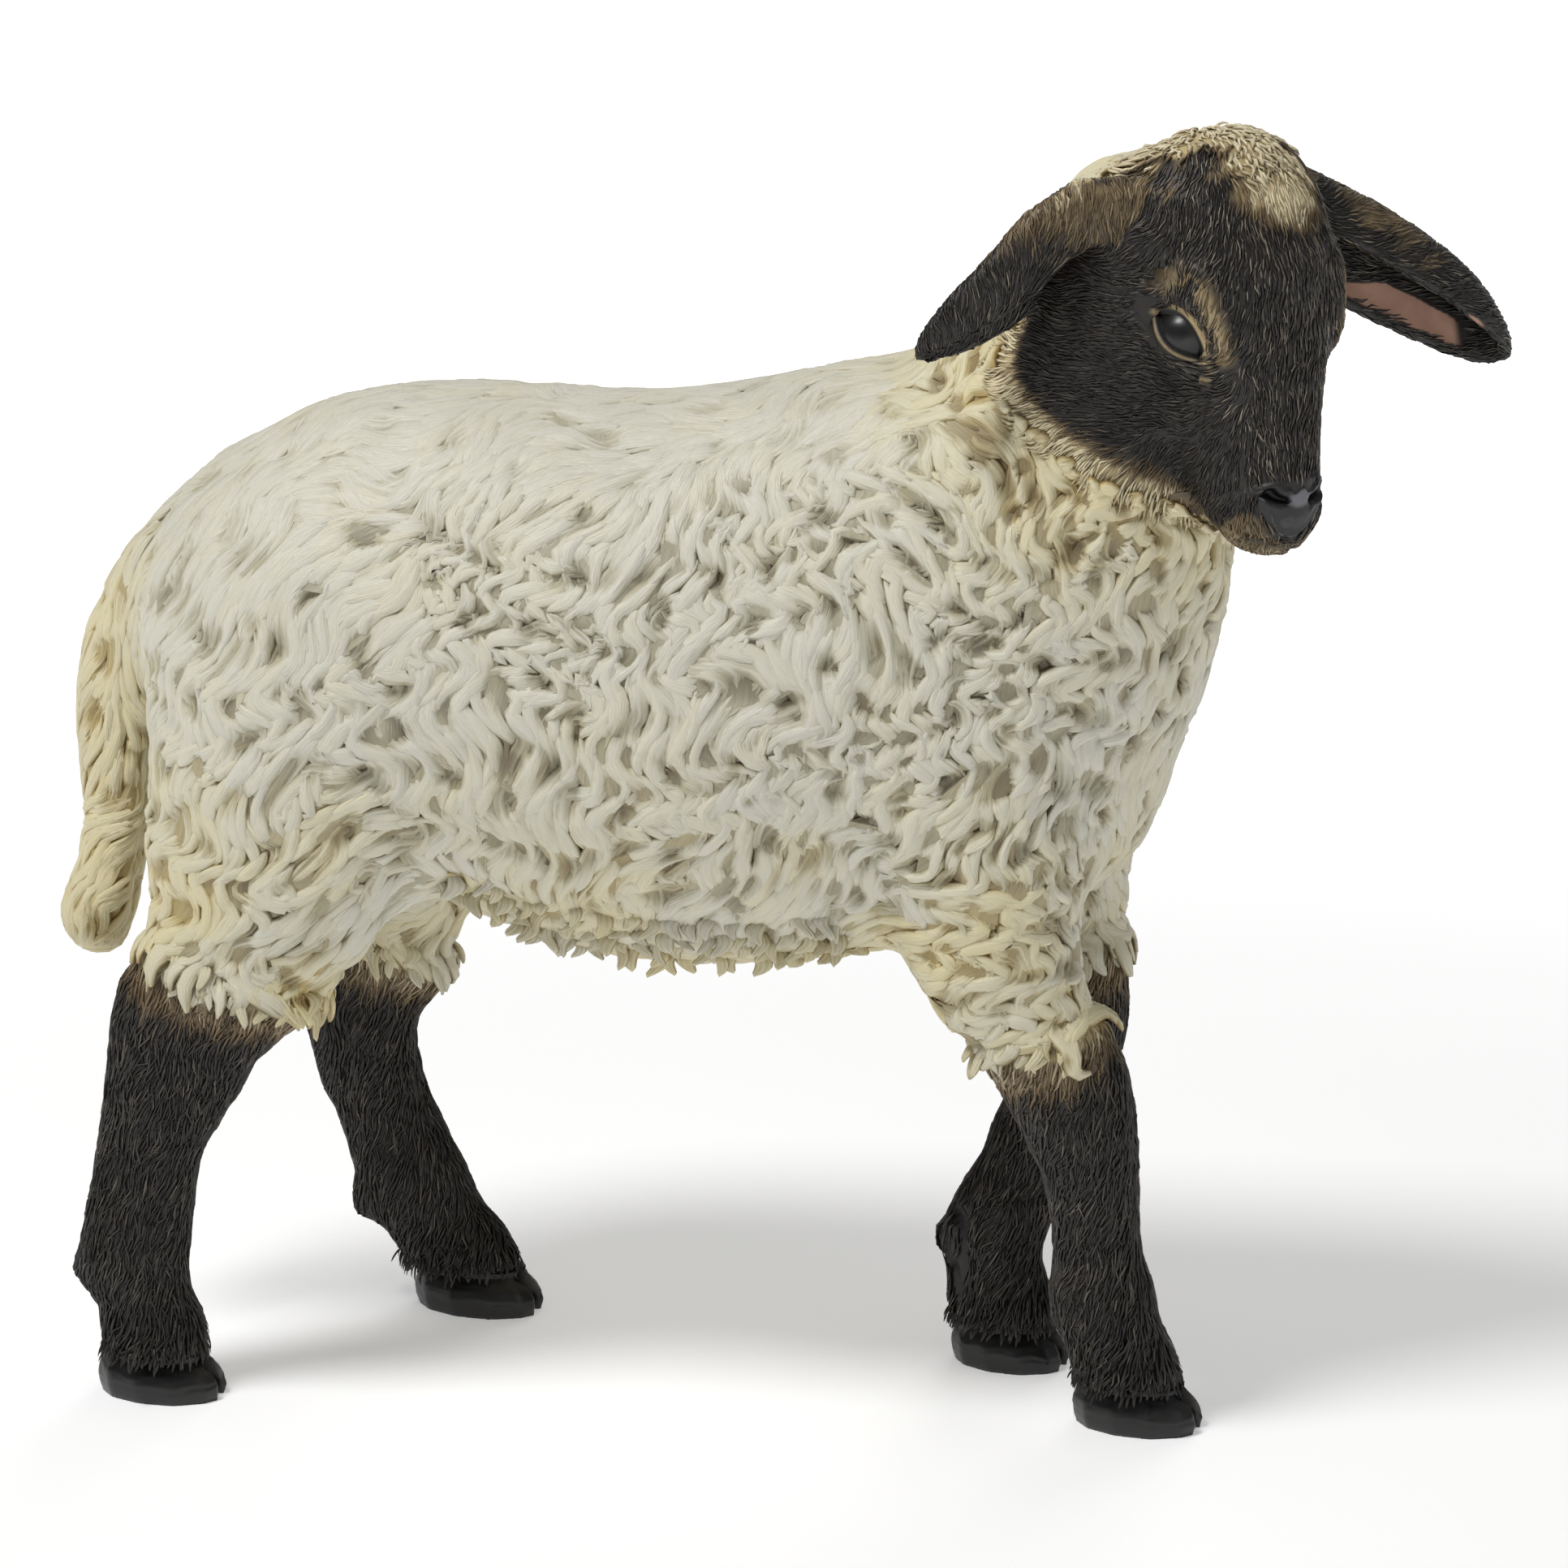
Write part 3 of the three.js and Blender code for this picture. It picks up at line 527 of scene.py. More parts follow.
def beside(points, line):
    """How far points, in mm, are from a line of straight runs, and how far along it."""
    line = np.array(line, float)
    best = np.full(points.shape[:-1], 1e9)
    along = np.zeros(points.shape[:-1])
    for i, (a, b) in enumerate(zip(line[:-1], line[1:])):
        t = np.clip((points - a) @ (b - a) / ((b - a) @ (b - a)), 0, 1)
        d = np.linalg.norm(points - a - t[..., None] * (b - a), axis=-1)
        along = np.where(d < best, (i + t) / (len(line) - 1), along)
        best = np.minimum(d, best)
    return best, along


def hump(x, width):
    """1 at nought, fading over a width to either side."""
    return np.exp(-((x / width) ** 2))


def blob(h, at, size):
    """How near points are to a soft spot."""
    return 1 - ramp(np.linalg.norm((h - np.array(at)) / np.array(size), axis=-1), 0.45, 1.15)


def face_middle(x):
    """How far the middle of the face lies to the left, along the head: the muzzle is a little askew."""
    return np.clip(-0.5 - 0.364 * (x - 55), -5.5, 1.5)


def muzzle_form(points):
    """What is carved round the nose: how deep in mm, how much is nose leather, and how dark; and a
    painted highlight, grey on the top of the nose leather and along the nostrils' wings.
    """
    h = into_head(points) / MM
    x, y, z = np.moveaxis(h, -1, 0)
    angle = np.arctan2(z - MUZZLE_AT[2] / MM, x - MUZZLE_AT[0] / MM)
    side = np.abs(y - face_middle(x)) / 0.88
    spot = np.stack([side, (angle * ROUND_TIP - 15) / 0.92 + 15], -1)
    near = ramp(x, 42, 50) * (1 - ramp(angle, 1.55, 1.75))
    nostril, along = beside(spot, NOSTRIL)
    wide = 2.3 - 0.9 * along
    hole = 1 - ramp(nostril, 0.35 * wide, 1.1 * wide)
    wing, _ = beside(spot, WING)
    groove, _ = beside(spot, WING_GROOVE)
    lip, _ = beside(spot, MOUTH)
    middle_line, _ = beside(spot, PHILTRUM)
    edge = np.interp(spot[..., 1], [7.7, 8.8, 11.7, 15.2, 18.8, 24], [0, 3.0, 6.5, 9.0, 10.8, 11.7])
    inside = ramp(edge - side, -0.3, 0.5) * ramp(spot[..., 1], 7.7, 8.6)
    below_hair = 1 - ramp(spot[..., 1], 22.2 + 0.9 * np.cos(side * 1.1), 23.4 + 0.9 * np.cos(side * 1.1))
    leather = inside * below_hair
    around = ramp(edge + 2.6 - side, -0.5, 0.8) * below_hair * ramp(spot[..., 1], 8.5, 11.0)
    depth = 3.4 * hole + 0.85 * hump(groove, 1.2) + 0.8 * hump(middle_line, 0.8) + 1.2 * hump(lip, 0.8)
    depth = depth - 0.45 * hump(lip - 2.4, 1.4) - 0.45 * hump(wing, 0.55) * (1 - hole)
    depth = depth - 0.25 * leather * (1 - ramp(side, 4, 9)) - 0.5 * hump(nostril - 3.0, 1.2) * (side > 5)
    lines = 0.75 * hump(groove, 1.0), 0.8 * hump(lip, 0.7), 0.6 * hump(middle_line, 0.7)
    dark = np.maximum.reduce([hole, *lines])
    # A painted highlight on the nose leather: grey on its top, lower down in front, and along the
    # nostrils' wings.
    wear_and_highlight = blob(spot, (0, 20.6), (6.5, 4.0)) + 0.5 * blob(spot, (2.0, 13.0), (4.0, 3.0)) + hump(wing, 0.5)
    return depth * near, np.maximum(leather, around) * near, dark * near, wear_and_highlight * leather * near


def eye_frame(side):
    """The eye's middle, and the ways outwards, to the inner corner and up, for a left or right eye."""
    mirror = np.array([1, side, 1])
    outward = unit(EYE_OUTWARD * mirror)
    corner = unit(across(EYE_CORNER * mirror, outward))
    up = np.cross(corner, outward) * side
    at = np.array(middle("eye_left" if side == LEFT else "eye_right"))
    return at, *(np.array(v) @ HEAD_AXES.T for v in (outward, corner, up))


def round_eye(points, side):
    """Where points lie round an eye, in mm: to its inner corner, and up."""
    at, outward, corner, up = eye_frame(side)
    v = points - at
    far = np.linalg.norm(v, axis=-1)
    a, b = v @ corner, v @ up
    turn = np.arccos(np.clip(v @ outward / far, -1, 1)) * EYE_ROUND / np.maximum(np.hypot(a, b), 1e-9)
    return a * turn, b * turn, far / MM


def lids(side, round_steps=96):
    """A ring of skin from under the eyeball's edge, over the rim and the fold, to under the face."""
    at, outward, corner, up = eye_frame(side)
    t = np.linspace(0, 2 * np.pi, round_steps, endpoint=False)
    a = np.cos(t)
    full = np.clip(1 - a * a, 0, 1)
    b = np.where(np.sin(t) > 0, UPPER_LID * full ** (0.85 - 0.25 * a), -LOWER_LID * full**1.4)
    edge = np.stack([a * LID_HALF - 0.3, b - 1.2 - 1.4 * a], -1)
    ahead = np.roll(edge, -1, 0) - np.roll(edge, 1, 0)
    away = unit(np.stack([ahead[:, 1], -ahead[:, 0]], -1))
    upper, inner = ramp(np.sin(t), -0.1, 0.5), ramp(np.cos(t), 0.2, 0.95)
    duct = hump(np.angle(np.exp(1j * (t + 0.06))), 0.15)
    outer_line = hump(np.angle(np.exp(1j * (t - np.pi + 0.02))), 0.12)
    away = unit(away + 0.35 * unit(edge) + duct[:, None] * np.array([0.2, -1.1]))
    verts, tan, dark = [], [], []
    for out, rise, firm, low_tan, high_tan, shadow in LID_RINGS:
        fold = ramp(out, 2.0, 4.0) * (1 - ramp(out, 5.0, 8.0))
        spot = edge + away * (out + fold * 0.8 * upper)[:, None]
        reach = np.linalg.norm(spot, axis=1)
        turn = reach / EYE_ROUND
        way = (
            np.cos(turn)[:, None] * outward
            + np.sin(turn)[:, None] * (spot[:, :1] * corner + spot[:, 1:] * up) / reach[:, None]
        )
        lid = EYE_BALL + MM * (rise + fold * (0.9 * upper * (0.5 + 0.7 * inner) - 0.5 * (1 - upper)))
        line = ramp(out, -0.2, 0.4) * (1 - ramp(out, 3.0, 5.5))
        lid = lid - MM * (duct + 0.8 * outer_line) * 1.2 * line
        face = np.full(round_steps, EYE_BALL + MM)
        for i, w in enumerate(way):
            hit = skin_tree.ray_cast(Vector(at + w * 30 * MM), Vector(-w))
            if hit[0] is not None:
                face[i] = (hit[0] - Vector(at)).length
        for _ in range(6):
            face = face * 0.5 + (np.roll(face, 1) + np.roll(face, -1)) * 0.25
        above = MM * fold * (0.35 + 1.0 * upper * (0.4 + 0.6 * inner)) - MM * duct * line
        face = face + above - MM * 1.2 * ramp(out, 7.0, 8.5)
        radius = firm * lid + (1 - firm) * face
        if out > 1.5 and firm:
            radius = np.maximum(radius, face - 0.2 * MM)
        verts.append(at + way * radius[:, None])
        front = ramp(np.cos(t - 0.7), -0.4, 0.8)
        pale = low_tan * (1 - upper) + high_tan * upper * (0.45 + 0.55 * front)
        below_duct = duct * 0.5 * ramp(out, 3.5, 5) * (1 - ramp(out, 6, 8))
        tan.append(np.clip(pale + below_duct, 0, 1))
        crease = ramp(out, 0, 0.5) * (1 - ramp(out, 3.5, 6))
        dark.append(np.clip(shadow + (duct + outer_line) * crease, 0, 1))
    verts = np.concatenate(verts)
    faces = ring_faces(np.arange(len(verts)).reshape(-1, round_steps))
    return verts, *facing_away(verts, faces, at), np.concatenate(tan), np.concatenate(dark)


def muzzle(rings_of=80, round_steps=190):
    """The tip of the muzzle: a finer patch over the skin, with its edge tucked under it."""
    axis = unit(np.array([1, 0, -0.12]) @ HEAD_AXES.T)
    one = unit(np.cross(axis, HEAD_AXES[:, 1]))
    two = np.cross(axis, one)
    at = out_of_head(MUZZLE_AT)
    tip = np.radians(96) * (np.arange(rings_of) + 0.6) / (rings_of - 0.4)
    t = np.linspace(0, 2 * np.pi, round_steps, endpoint=False)
    way = (
        np.cos(tip)[:, None, None] * axis
        + np.sin(tip)[:, None, None] * (np.cos(t)[:, None] * one + np.sin(t)[:, None] * two)
    ).reshape(-1, 3)
    hits = [skin_tree.ray_cast(Vector(at), Vector(w)) for w in way]
    places = np.array([h[0] for h in hits])
    found = np.array([h[2] for h in hits])
    normal = quad_normal[found]
    on_neck = ramp(quad_wool[found], 0.05, 0.4).reshape(rings_of, round_steps)
    number = np.arange(len(places)).reshape(rings_of, round_steps)
    places, normal = (v.reshape(rings_of, round_steps, 3) for v in (places, normal))
    for _ in range(12):
        for v in (places, normal):
            beside_it = np.roll(v, 1, 1)[1:-1] + np.roll(v, -1, 1)[1:-1]
            v[1:-1] += 0.5 * ((v[2:] + v[:-2] + beside_it) / 4 - v[1:-1])
    normal = unit(normal)
    depth, leather, dark, wear_and_highlight = muzzle_form(places)
    tuck = ramp(np.arange(rings_of)[:, None], rings_of - 9, rings_of - 1) + 1.5 * on_neck
    places = places + normal * (MM * (0.35 - depth - 1.0 * tuck))[..., None]
    verts = np.concatenate([places.reshape(-1, 3), places[0].mean(0)[None]])
    cap = np.stack([np.full(round_steps, len(verts) - 1), number[0], np.roll(number[0], -1)], -1)
    flat = [np.append(v.ravel(), v[0].mean()) for v in (leather, dark, wear_and_highlight)]
    return verts, *facing_away(verts, ring_faces(number), at, cap), *flat


sway = Drift(3, 46 * MM)
sway_fine = Drift(4, 19 * MM)
phase_drift = Drift(5, 60 * MM)
bend_drift = Drift(7, 60 * MM)
swell = Drift(6, 26 * MM)


def fleece_way(p, n):
    """Down the sides and a little back; on top, out from the spine."""
    top = ramp(n[:, 2], 0.2, 0.9)[:, None]
    under = ramp(-n[:, 2], 0.4, 0.95)[:, None]
    outward = np.clip(p[:, 1] / (20 * MM), -1, 1)[:, None]
    down = np.array([-0.28, 0, -1.0])
    over = np.concatenate([np.full_like(outward, -1.0), 0.7 * outward, np.full_like(outward, -0.2)], 1)
    below = np.array([-1.0, 0, -0.3])
    way = down * (1 - top) * (1 - under) + over * top + below * under
    angle = 0.55 * sway(p) + 0.2 * sway_fine(p)
    return turned(unit(across(way, n)), n, angle)


oval = np.linspace(-np.pi, np.pi, 721)
oval_step = np.hypot(BODY_LONG * np.sin(oval), BODY_BROAD * np.cos(oval)) * (oval[1] - oval[0])
oval_run = np.cumsum(oval_step)


def bands(p):
    """The fleece's bands run down the body in waves. Gives how far round the body places are,
    counted in bands, and where in its wave the band is there."""
    x, y, z = np.moveaxis(p, -1, 0)
    turn = np.arctan2(y / BODY_BROAD, (x - BODY_MIDDLE) / BODY_LONG)
    round_body = np.interp(turn, oval, oval_run) + 0.28 * z * np.clip(y / (30 * MM), -1, 1)
    slow = 1 - 0.25 * ramp(-x, 60 * MM, 120 * MM) + 0.15 * ramp(x, 50 * MM, 110 * MM)
    wave = 2 * np.pi * slow * (0.25 - z) / WAVE_LONG + 2.4 * phase_drift(p)
    return (round_body + 5 * MM * bend_drift(p) + WAVE_TALL * np.sin(wave)) / BAND_WIDE, wave


def band_way(p, n):
    """The way the bands run, and how closely they are packed."""
    one = unit(np.cross(n, np.array([0.3, 0.1, 0.9])))
    two = np.cross(n, one)
    tiny = 0.25 * MM
    slope_one = (bands(p + tiny * one)[0] - bands(p - tiny * one)[0]) / (2 * tiny)
    slope_two = (bands(p + tiny * two)[0] - bands(p - tiny * two)[0]) / (2 * tiny)
    way = slope_two[..., None] * one - slope_one[..., None] * two
    size = np.linalg.norm(way, axis=-1, keepdims=True)
    way = way / np.maximum(size, 1e-9)
    way = way * np.sign(np.sum(way * fleece_way(p, n), -1, keepdims=True) + 1e-9)
    return way, size[..., 0] * BAND_WIDE


# Parts of the fleece, told apart by where they are.
part_name = np.array(FLESH)[quad_part]
zone = np.full(len(quads), "flank", dtype="<U8")
on_trunk = part_name == "trunk"
zone[on_trunk & (quad_middle[:, 0] < RUMP_BEHIND)] = "rump"
zone[on_trunk & (quad_middle[:, 0] > CHEST_AHEAD)] = "chest"
zone[(quad_normal[:, 2] > 0.62) & on_trunk] = "back"
zone[(quad_normal[:, 2] < -0.55) & on_trunk] = "belly"
zone[part_name == "neck"] = "neck"
zone[part_name == "tail"] = "tail"
zone[np.char.endswith(part_name, "upper")] = "leg"

zone_number = {name: i for i, name in enumerate(FLEECE)}
zone_id = np.array([zone_number[z] for z in zone])
table = np.array(list(FLEECE.values()), float)
table[:, [0, 1, 2, 3, 4, 5, 7]] *= MM
sizes_here = table[zone_id]

# Scoops carved between the bands of the fleece: each is sharp on one side and fades on the other,
# and the wool swirls round it, neighbours turning opposite ways.
scoops = scattered(quad_wool, sizes_here[:, 3], seed=11)
rng = np.random.default_rng(12)
scoop_at, scoop_normal = quad_middle[scoops], quad_normal[scoops]
scoop_wide = sizes_here[scoops, 4] * rng.uniform(0.75, 1.25, len(scoops))
scoop_deep = sizes_here[scoops, 5] * rng.uniform(0.55, 1.15, len(scoops))
scoop_swirl = sizes_here[scoops, 6] * rng.uniform(0.7, 1.2, len(scoops))
scoop_angle = rng.normal(0, 0.35, len(scoops))
scoop_way = turned(unit(fleece_way(scoop_at, scoop_normal)), scoop_normal, scoop_angle)
scoop_side = np.cross(scoop_normal, scoop_way)
scoop_long = rng.uniform(1.1, 2.3, len(scoops))
scoop_bend = rng.uniform(0.15, 0.5, len(scoops))
scoop_tree = KDTree(len(scoops))
for i, p in enumerate(scoop_at.tolist()):
    scoop_tree.insert(p, i)
scoop_tree.balance()
scoop_turn = np.zeros(len(scoops))
for i, p in enumerate(scoop_at.tolist()):
    others = scoop_tree.find_n(p, ROUND_A_SCOOP)
    pull = sum(scoop_turn[j] / max(away, MM) for _, j, away in others if j != i)
    scoop_turn[i] = -np.sign(pull) if pull else 1.0
scoops_near = np.zeros((len(quads), SCOOPS_FELT), int)
for i in np.flatnonzero(quad_wool > 0.02).tolist():
    scoops_near[i] = [j for _, j, _ in scoop_tree.find_n(quad_middle[i].tolist(), SCOOPS_FELT)]

# The bands are carved on the sides, and not where they are crowded or on the tail.
_, packed = band_way(quad_middle, quad_normal)
on_side = 1 - np.maximum(ramp(quad_normal[:, 2], 0.45, 0.8), ramp(-quad_normal[:, 2], 0.6, 0.9))
quad_bands = on_side * (1 - ramp(packed, 1.8, 2.8)) * (part_name != "tail")
quad_band_deep = quad_mean(at_corners(sizes_here[:, 7] * quad_bands, 8))


def carved(points, faces):
    """How deep the fleece is carved at points above some faces, and how far inside a scoop or a
    valley between two bands they lie."""
    near = scoops_near[faces]
    away = points[..., None, :] - scoop_at[near]
    wide, turn = scoop_wide[near], scoop_turn[near]
    y = np.sum(away * scoop_way[near], -1) / (wide * scoop_long[near])
    x = np.sum(away * scoop_side[near], -1) / wide * turn + scoop_bend[near] * scoop_long[near] * y * y
    r = np.sqrt(x * x + y * y)
    sharp = 0.5 + 0.5 * x / np.maximum(r, 0.05)
    scooped = 1 - ramp(r, 0.1 + 0.6 * sharp**2, 1.5 - 0.5 * sharp)
    band, wave = bands(points)
    bent = np.sin(wave)
    turn = 2 * np.pi * band
    valley = 0.5 + 0.5 * np.cos(turn + 0.7 * np.sin(turn) * bent)
    keen = (0.15 + 0.85 * bent**2) * np.clip(0.7 + 0.55 * swell(points * 1.4), 0.1, 1.15)
    valley = valley**1.6 * keen
    depth = np.maximum((scoop_deep[near] * scooped).max(-1), quad_band_deep[faces] * valley)
    return depth, np.maximum(scooped.max(-1), valley)


def fleece_lie(p, n, face):
    """The way the wool lies: along its bands or down the body, and round the scoops."""
    near = scoops_near[face]
    away = p[:, None] - scoop_at[near]
    r = np.linalg.norm(away, axis=-1, keepdims=True)
    reach = scoop_wide[near][..., None] * 1.25
    turn = (scoop_turn * scoop_swirl)[near][..., None] * np.exp(-((r / reach) ** 2)) * 1.6 * r / reach
    swirl = (np.cross(n[:, None], away / np.maximum(r, 1e-6)) * turn).sum(1)
    banded = quad_bands[face][:, None]
    return band_way(p, n)[0] * banded + fleece_way(p, n) * (1 - banded) + swirl


def warmth(p):
    """How yellow the cream is: most under the head, on the tail, and towards the hems."""
    h = into_head(p)
    near_head = 1 - ramp(np.linalg.norm(h - np.array([-5, -5, -45]) * MM, axis=-1), 25 * MM, 105 * MM)
    tail_side = 1 - ramp(p[..., 0], -205 * MM, -168 * MM)
    low = 1 - ramp(p[..., 2], 140 * MM, 235 * MM)
    patch = 0.5 + 0.5 * swell(p * 0.6)
    low = 0.85 * low * (0.35 + 0.65 * patch)
    return np.clip(0.95 * near_head + 0.7 * tail_side + low + 0.12 * patch, 0, 1)


quad_bare_head = (quad_wool < 0.35) & ((part_name == "head") | np.char.startswith(part_name, "ear"))
lock_along = np.linspace(0, 1, LOCK_STEPS)[None]
lock_belt = np.sin(np.pi * np.clip(lock_along * 0.96 + 0.01, 0, 1)) ** 0.65 + 0.01  # its width there
across_at = np.linspace(-1, 1, 2 * RIDGES + 1)
crest = np.where(np.arange(2 * RIDGES + 1) % 2, 1.0, -1.0)


def lock_paths():
    """Two layers of locks over the fleece: the face in the middle of each, its length, its half
    width, and its path."""
    middles = np.zeros(0, int)
    for layer, closer in enumerate((1.0, 0.8)):
        # The second layer fills the gaps that the first one left.
        bare = quad_wool
        if layer:
            cover = np.bincount(path[3].ravel(), (lock_belt * wide[:, None]).ravel(), len(quads))
            cover = at_corners(cover / quad_area, 6)
            bare = quad_wool * (quad_mean(cover) < THIN_COAT * np.median(cover[is_wool]))
        more = scattered(bare, sizes_here[:, 0] * closer, seed=21 + layer)
        middles = np.append(middles, more).astype(int)
        rng = np.random.default_rng(30)
        length = sizes_here[middles, 1] * rng.uniform(0.7, 1.3, MOST_LOCKS)[: len(middles)]
        wide = sizes_here[middles, 2] * rng.uniform(0.7, 1.15, MOST_LOCKS)[: len(middles)]
        path = traced_both_ways(middles, fleece_lie, length, LOCK_STEPS, LOCK_KEEP)
        for shorter in (0.6, 0.35):
            # Locks that reach over the head's short hair are drawn again, shorter.
            over = np.flatnonzero(quad_bare_head[path[3]].any(1))
            length[over] *= shorter
            again = traced_both_ways(middles[over], fleece_lie, length[over], LOCK_STEPS, LOCK_KEEP)
            for whole, new in zip(path, again):
                whole[over] = new
    return middles, length, wide, path


def ridged(places, sides, faces, wide, crown, lift):
    """Rings round some locks, with ridges along them: across, above the skin, how much lighter or darker
    than its lock each corner is painted, as painted highlight on the ridges and painted shade at the
    edges and underneath, and how far across its lock it lies."""
    n = len(wide)
    mine = np.random.default_rng(91 + n)
    jitter = mine.uniform(-0.4, 0.4, (n, 1, len(crest))) / RIDGES
    u = across_at + jitter * (np.abs(across_at) < 1)
    keen = mine.uniform(0.2, 1.0, (n, 1, len(crest)))
    fade = mine.uniform(4, 9, (n, 1, 1)) * lock_along[..., None] + mine.uniform(0, 6, (n, 1, len(crest)))
    keen = keen * (1 + 0.6 * np.sin(fade))
    reach = (wide[:, None] * lock_belt)[..., None]
    x = u * reach
    corner = places[:, :, None] + sides[:, :, None] * x[..., None]
    depth, inside = carved(corner, faces[..., None])
    body = crown[:, None, None] * (1 - u**2) * np.minimum(1, 0.2 + reach / (2.5 * MM))
    strand = STRAND_TALL * keen * crest * (0.6 + 0.9 * inside) * np.minimum(1, reach / (2 * MM))
    z = BAND - depth + lift[..., None] + body + strand
    z[..., [0, -1]] -= EDGE_DOWN
    foot_z = z.min(-1, keepdims=True) - FOOT_DOWN
    # Painted highlight along each ridge, and painted shade at the lock's edges and on its underside.
    shade = 0.09 * keen * crest - 0.3 * np.abs(u) ** 3 + 0 * depth
    x = np.concatenate([x, 0 * foot_z], -1)
    z = np.concatenate([z, foot_z], -1)
    shade = np.concatenate([shade, 0 * foot_z - 0.4], -1)
    return x, z, shade, np.concatenate([u + 0 * depth, 0 * foot_z], -1)


def fleece_locks():
    """The locks of the fleece, bedded in the under-wool: a piece for each part of each side."""
    middles, length, wide, (places, normals, _, faces) = lock_paths()
    rng = np.random.default_rng(22)
    count = len(middles)
    roots = faces[:, 0]
    ways = unit(across(np.gradient(places, axis=1), normals))
    sides = np.cross(normals, ways)

    # How round each lock is across, and how its ends and middle lie above the fleece's level.
    s = lock_along
    relief = sizes_here[middles, 5] / (2 * MM)
    crown = (0.3 + 0.6 * np.minimum(relief, 1.3) * rng.uniform(0.3, 1.0, count)) * MM
    lift = rng.normal(0, 0.1, count)[:, None] * MM * (0.4 + 0.6 * relief[:, None]) * ramp(s, 0, 0.4)
    lift = lift - ROOT_DOWN * (1 - ramp(s, 0, 0.35)) - TIP_DOWN * ramp(s, 0.7, 1.0)

    warm = warmth(quad_middle[roots])
    tone = rng.uniform(0, 1, count)
    group = zone[middles].astype("<U24")
    sided = group != "tail"
    side_names = np.where(quad_middle[roots, 1] > 0, "_left", "_right")
    group[sided] = np.char.add(group[sided], side_names[sided])
    pieces = []
    for name in np.unique(group):
        k = np.flatnonzero(group == name)
        x, z, shade, u = ridged(places[k], sides[k], faces[k], wide[k], crown[k], lift[k])
        values = {
            "rise": z / COAT_DEPTH + shade,
            "tone": tone[k, None, None],
            "warm": warm[k, None, None],
        }
        made = rings(places[k], normals[k], sides[k], x, z)
        uvs = tuft_uvs(roots[k], u, x / MM, s[..., None], length[k], tone[k])
        pieces.append(strips_piece(f"fleece_{name}", *made, values, uvs))
    return pieces


fleece = fleece_locks()

# The under-wool fills up to just below the locks, and follows the scoops.
corner_face = np.zeros(len(skin), int)
corner_face[quads.ravel()] = np.repeat(np.arange(len(quads)), 4)
depth, _ = carved(skin, corner_face)
ground = np.clip(BAND - depth - UNDER, 0.3 * MM, None) * wool

# ------------------------------------------------------------------ hanging tufts

wool_near = spread(is_wool.astype(float), 60)
near_hem = quad_mean(wool_near)
on_upper = np.char.endswith(part_name, "_upper")
on_edge = on_trunk & (quad_normal[:, 2] < -0.6) & (quad_normal[:, 2] > -0.88)
HANG_FROM = {
    "fleece_hems": on_upper & (near_hem > 0.52) & (near_hem < 0.86),
    "fleece_belly_edges": on_edge & (np.abs(quad_middle[:, 0] + 25 * MM) < 95 * MM),
    "hair_coronets": (quad_middle[:, 2] < 21 * MM) & (np.abs(quad_normal[:, 2]) < 0.7),
}


def hanging(name, seed):
    """Tufts that hang clear of the skin: one piece of them."""
    spacing, long, wide, thick, stand, curl = HANGING[name]
    roots = scattered(HANG_FROM[name].astype(float), np.full(len(quads), spacing * MM), seed)
    rng = np.random.default_rng(seed)
    count = len(roots)
    t = np.linspace(0, 1, HANG_STEPS)[None]
    long = long * MM * rng.uniform(0.65, 1.3, count)
    wide = wide * MM * rng.uniform(0.75, 1.2, count)
    n = quad_normal[roots]
    flat = n * [1, 1, 0] + 1e-6
    woolly = quad_wool[roots]
    down = unit(np.array([-0.12, 0, -1.0]) + 0.2 * flat + rng.normal(0, 0.14, (count, 3)))
    out = unit(flat if name == "fleece_belly_edges" else across(n, down))
    aside = np.cross(out, down)
    bend = curl * MM * rng.uniform(0.4, 1.0, count) * rng.choice([-1, 1], count)
    bend = bend[:, None] * np.sin(t * rng.uniform(2.5, 5.0, count)[:, None])
    root = quad_middle[roots] + n * (woolly * (BAND - HANG_UNDER))[:, None]
    stands = MM * (stand * np.sin(t * 2.2) + (0.2 + 0.7 * woolly)[:, None] * ramp(t, 0, 0.4))
    spine = (
        root[:, None]
        + down[:, None] * (t * long[:, None])[..., None]
        + out[:, None] * stands[..., None]
        + aside[:, None] * bend[..., None]
    )
    taper = (1 - t**3.4) ** 0.62 * (0.7 + 0.3 * ramp(t, 0, 0.3)) + 0.03
    u = across_at + 0 * t[..., None]
    x = u * (wide[:, None] * taper)[..., None]
    ridge = 0.12 * (wide[:, None] * taper)[..., None] * crest
    z = (thick * wide[:, None] * taper)[..., None] * (1 - u * u) + ridge
    x = np.concatenate([x, 0 * x[..., :1]], -1)
    z = np.concatenate([z, -0.5 * z[..., 3:4] - 0.3 * wide[:, None, None]], -1)
    u = np.concatenate([u + 0 * x[..., 1:], 0 * x[..., :1]], -1)
    made = rings(spine, *(np.broadcast_to(v[:, None], spine.shape) for v in (out, aside)), x, z)
    tone = rng.uniform(0, 1, count)
    # Crests painted lighter and edges darker, as painted highlight and painted shade; on the fleece tufts
    # the roots under the fleece are also painted darker as shade.
    rise = 0.5 + 0.3 * np.append(crest, -1)
    if name != "hair_coronets":
        rise = 0.84 + 0.14 * np.append(crest, -2) - 0.25 * np.abs(u) ** 3
        rise = rise - 0.25 * (1 - ramp(t[..., None], 0, 0.4))
    values = {
        "rise": rise,
        "tone": tone[:, None, None],
        "warm": warmth(root)[:, None, None] + 0.1,
        "tan": 0.0,
        "brush_and_highlight": 0.15,
    }
    return strips_piece(name, *made, values, tuft_uvs(roots, u, x / MM, t[..., None], long, tone))


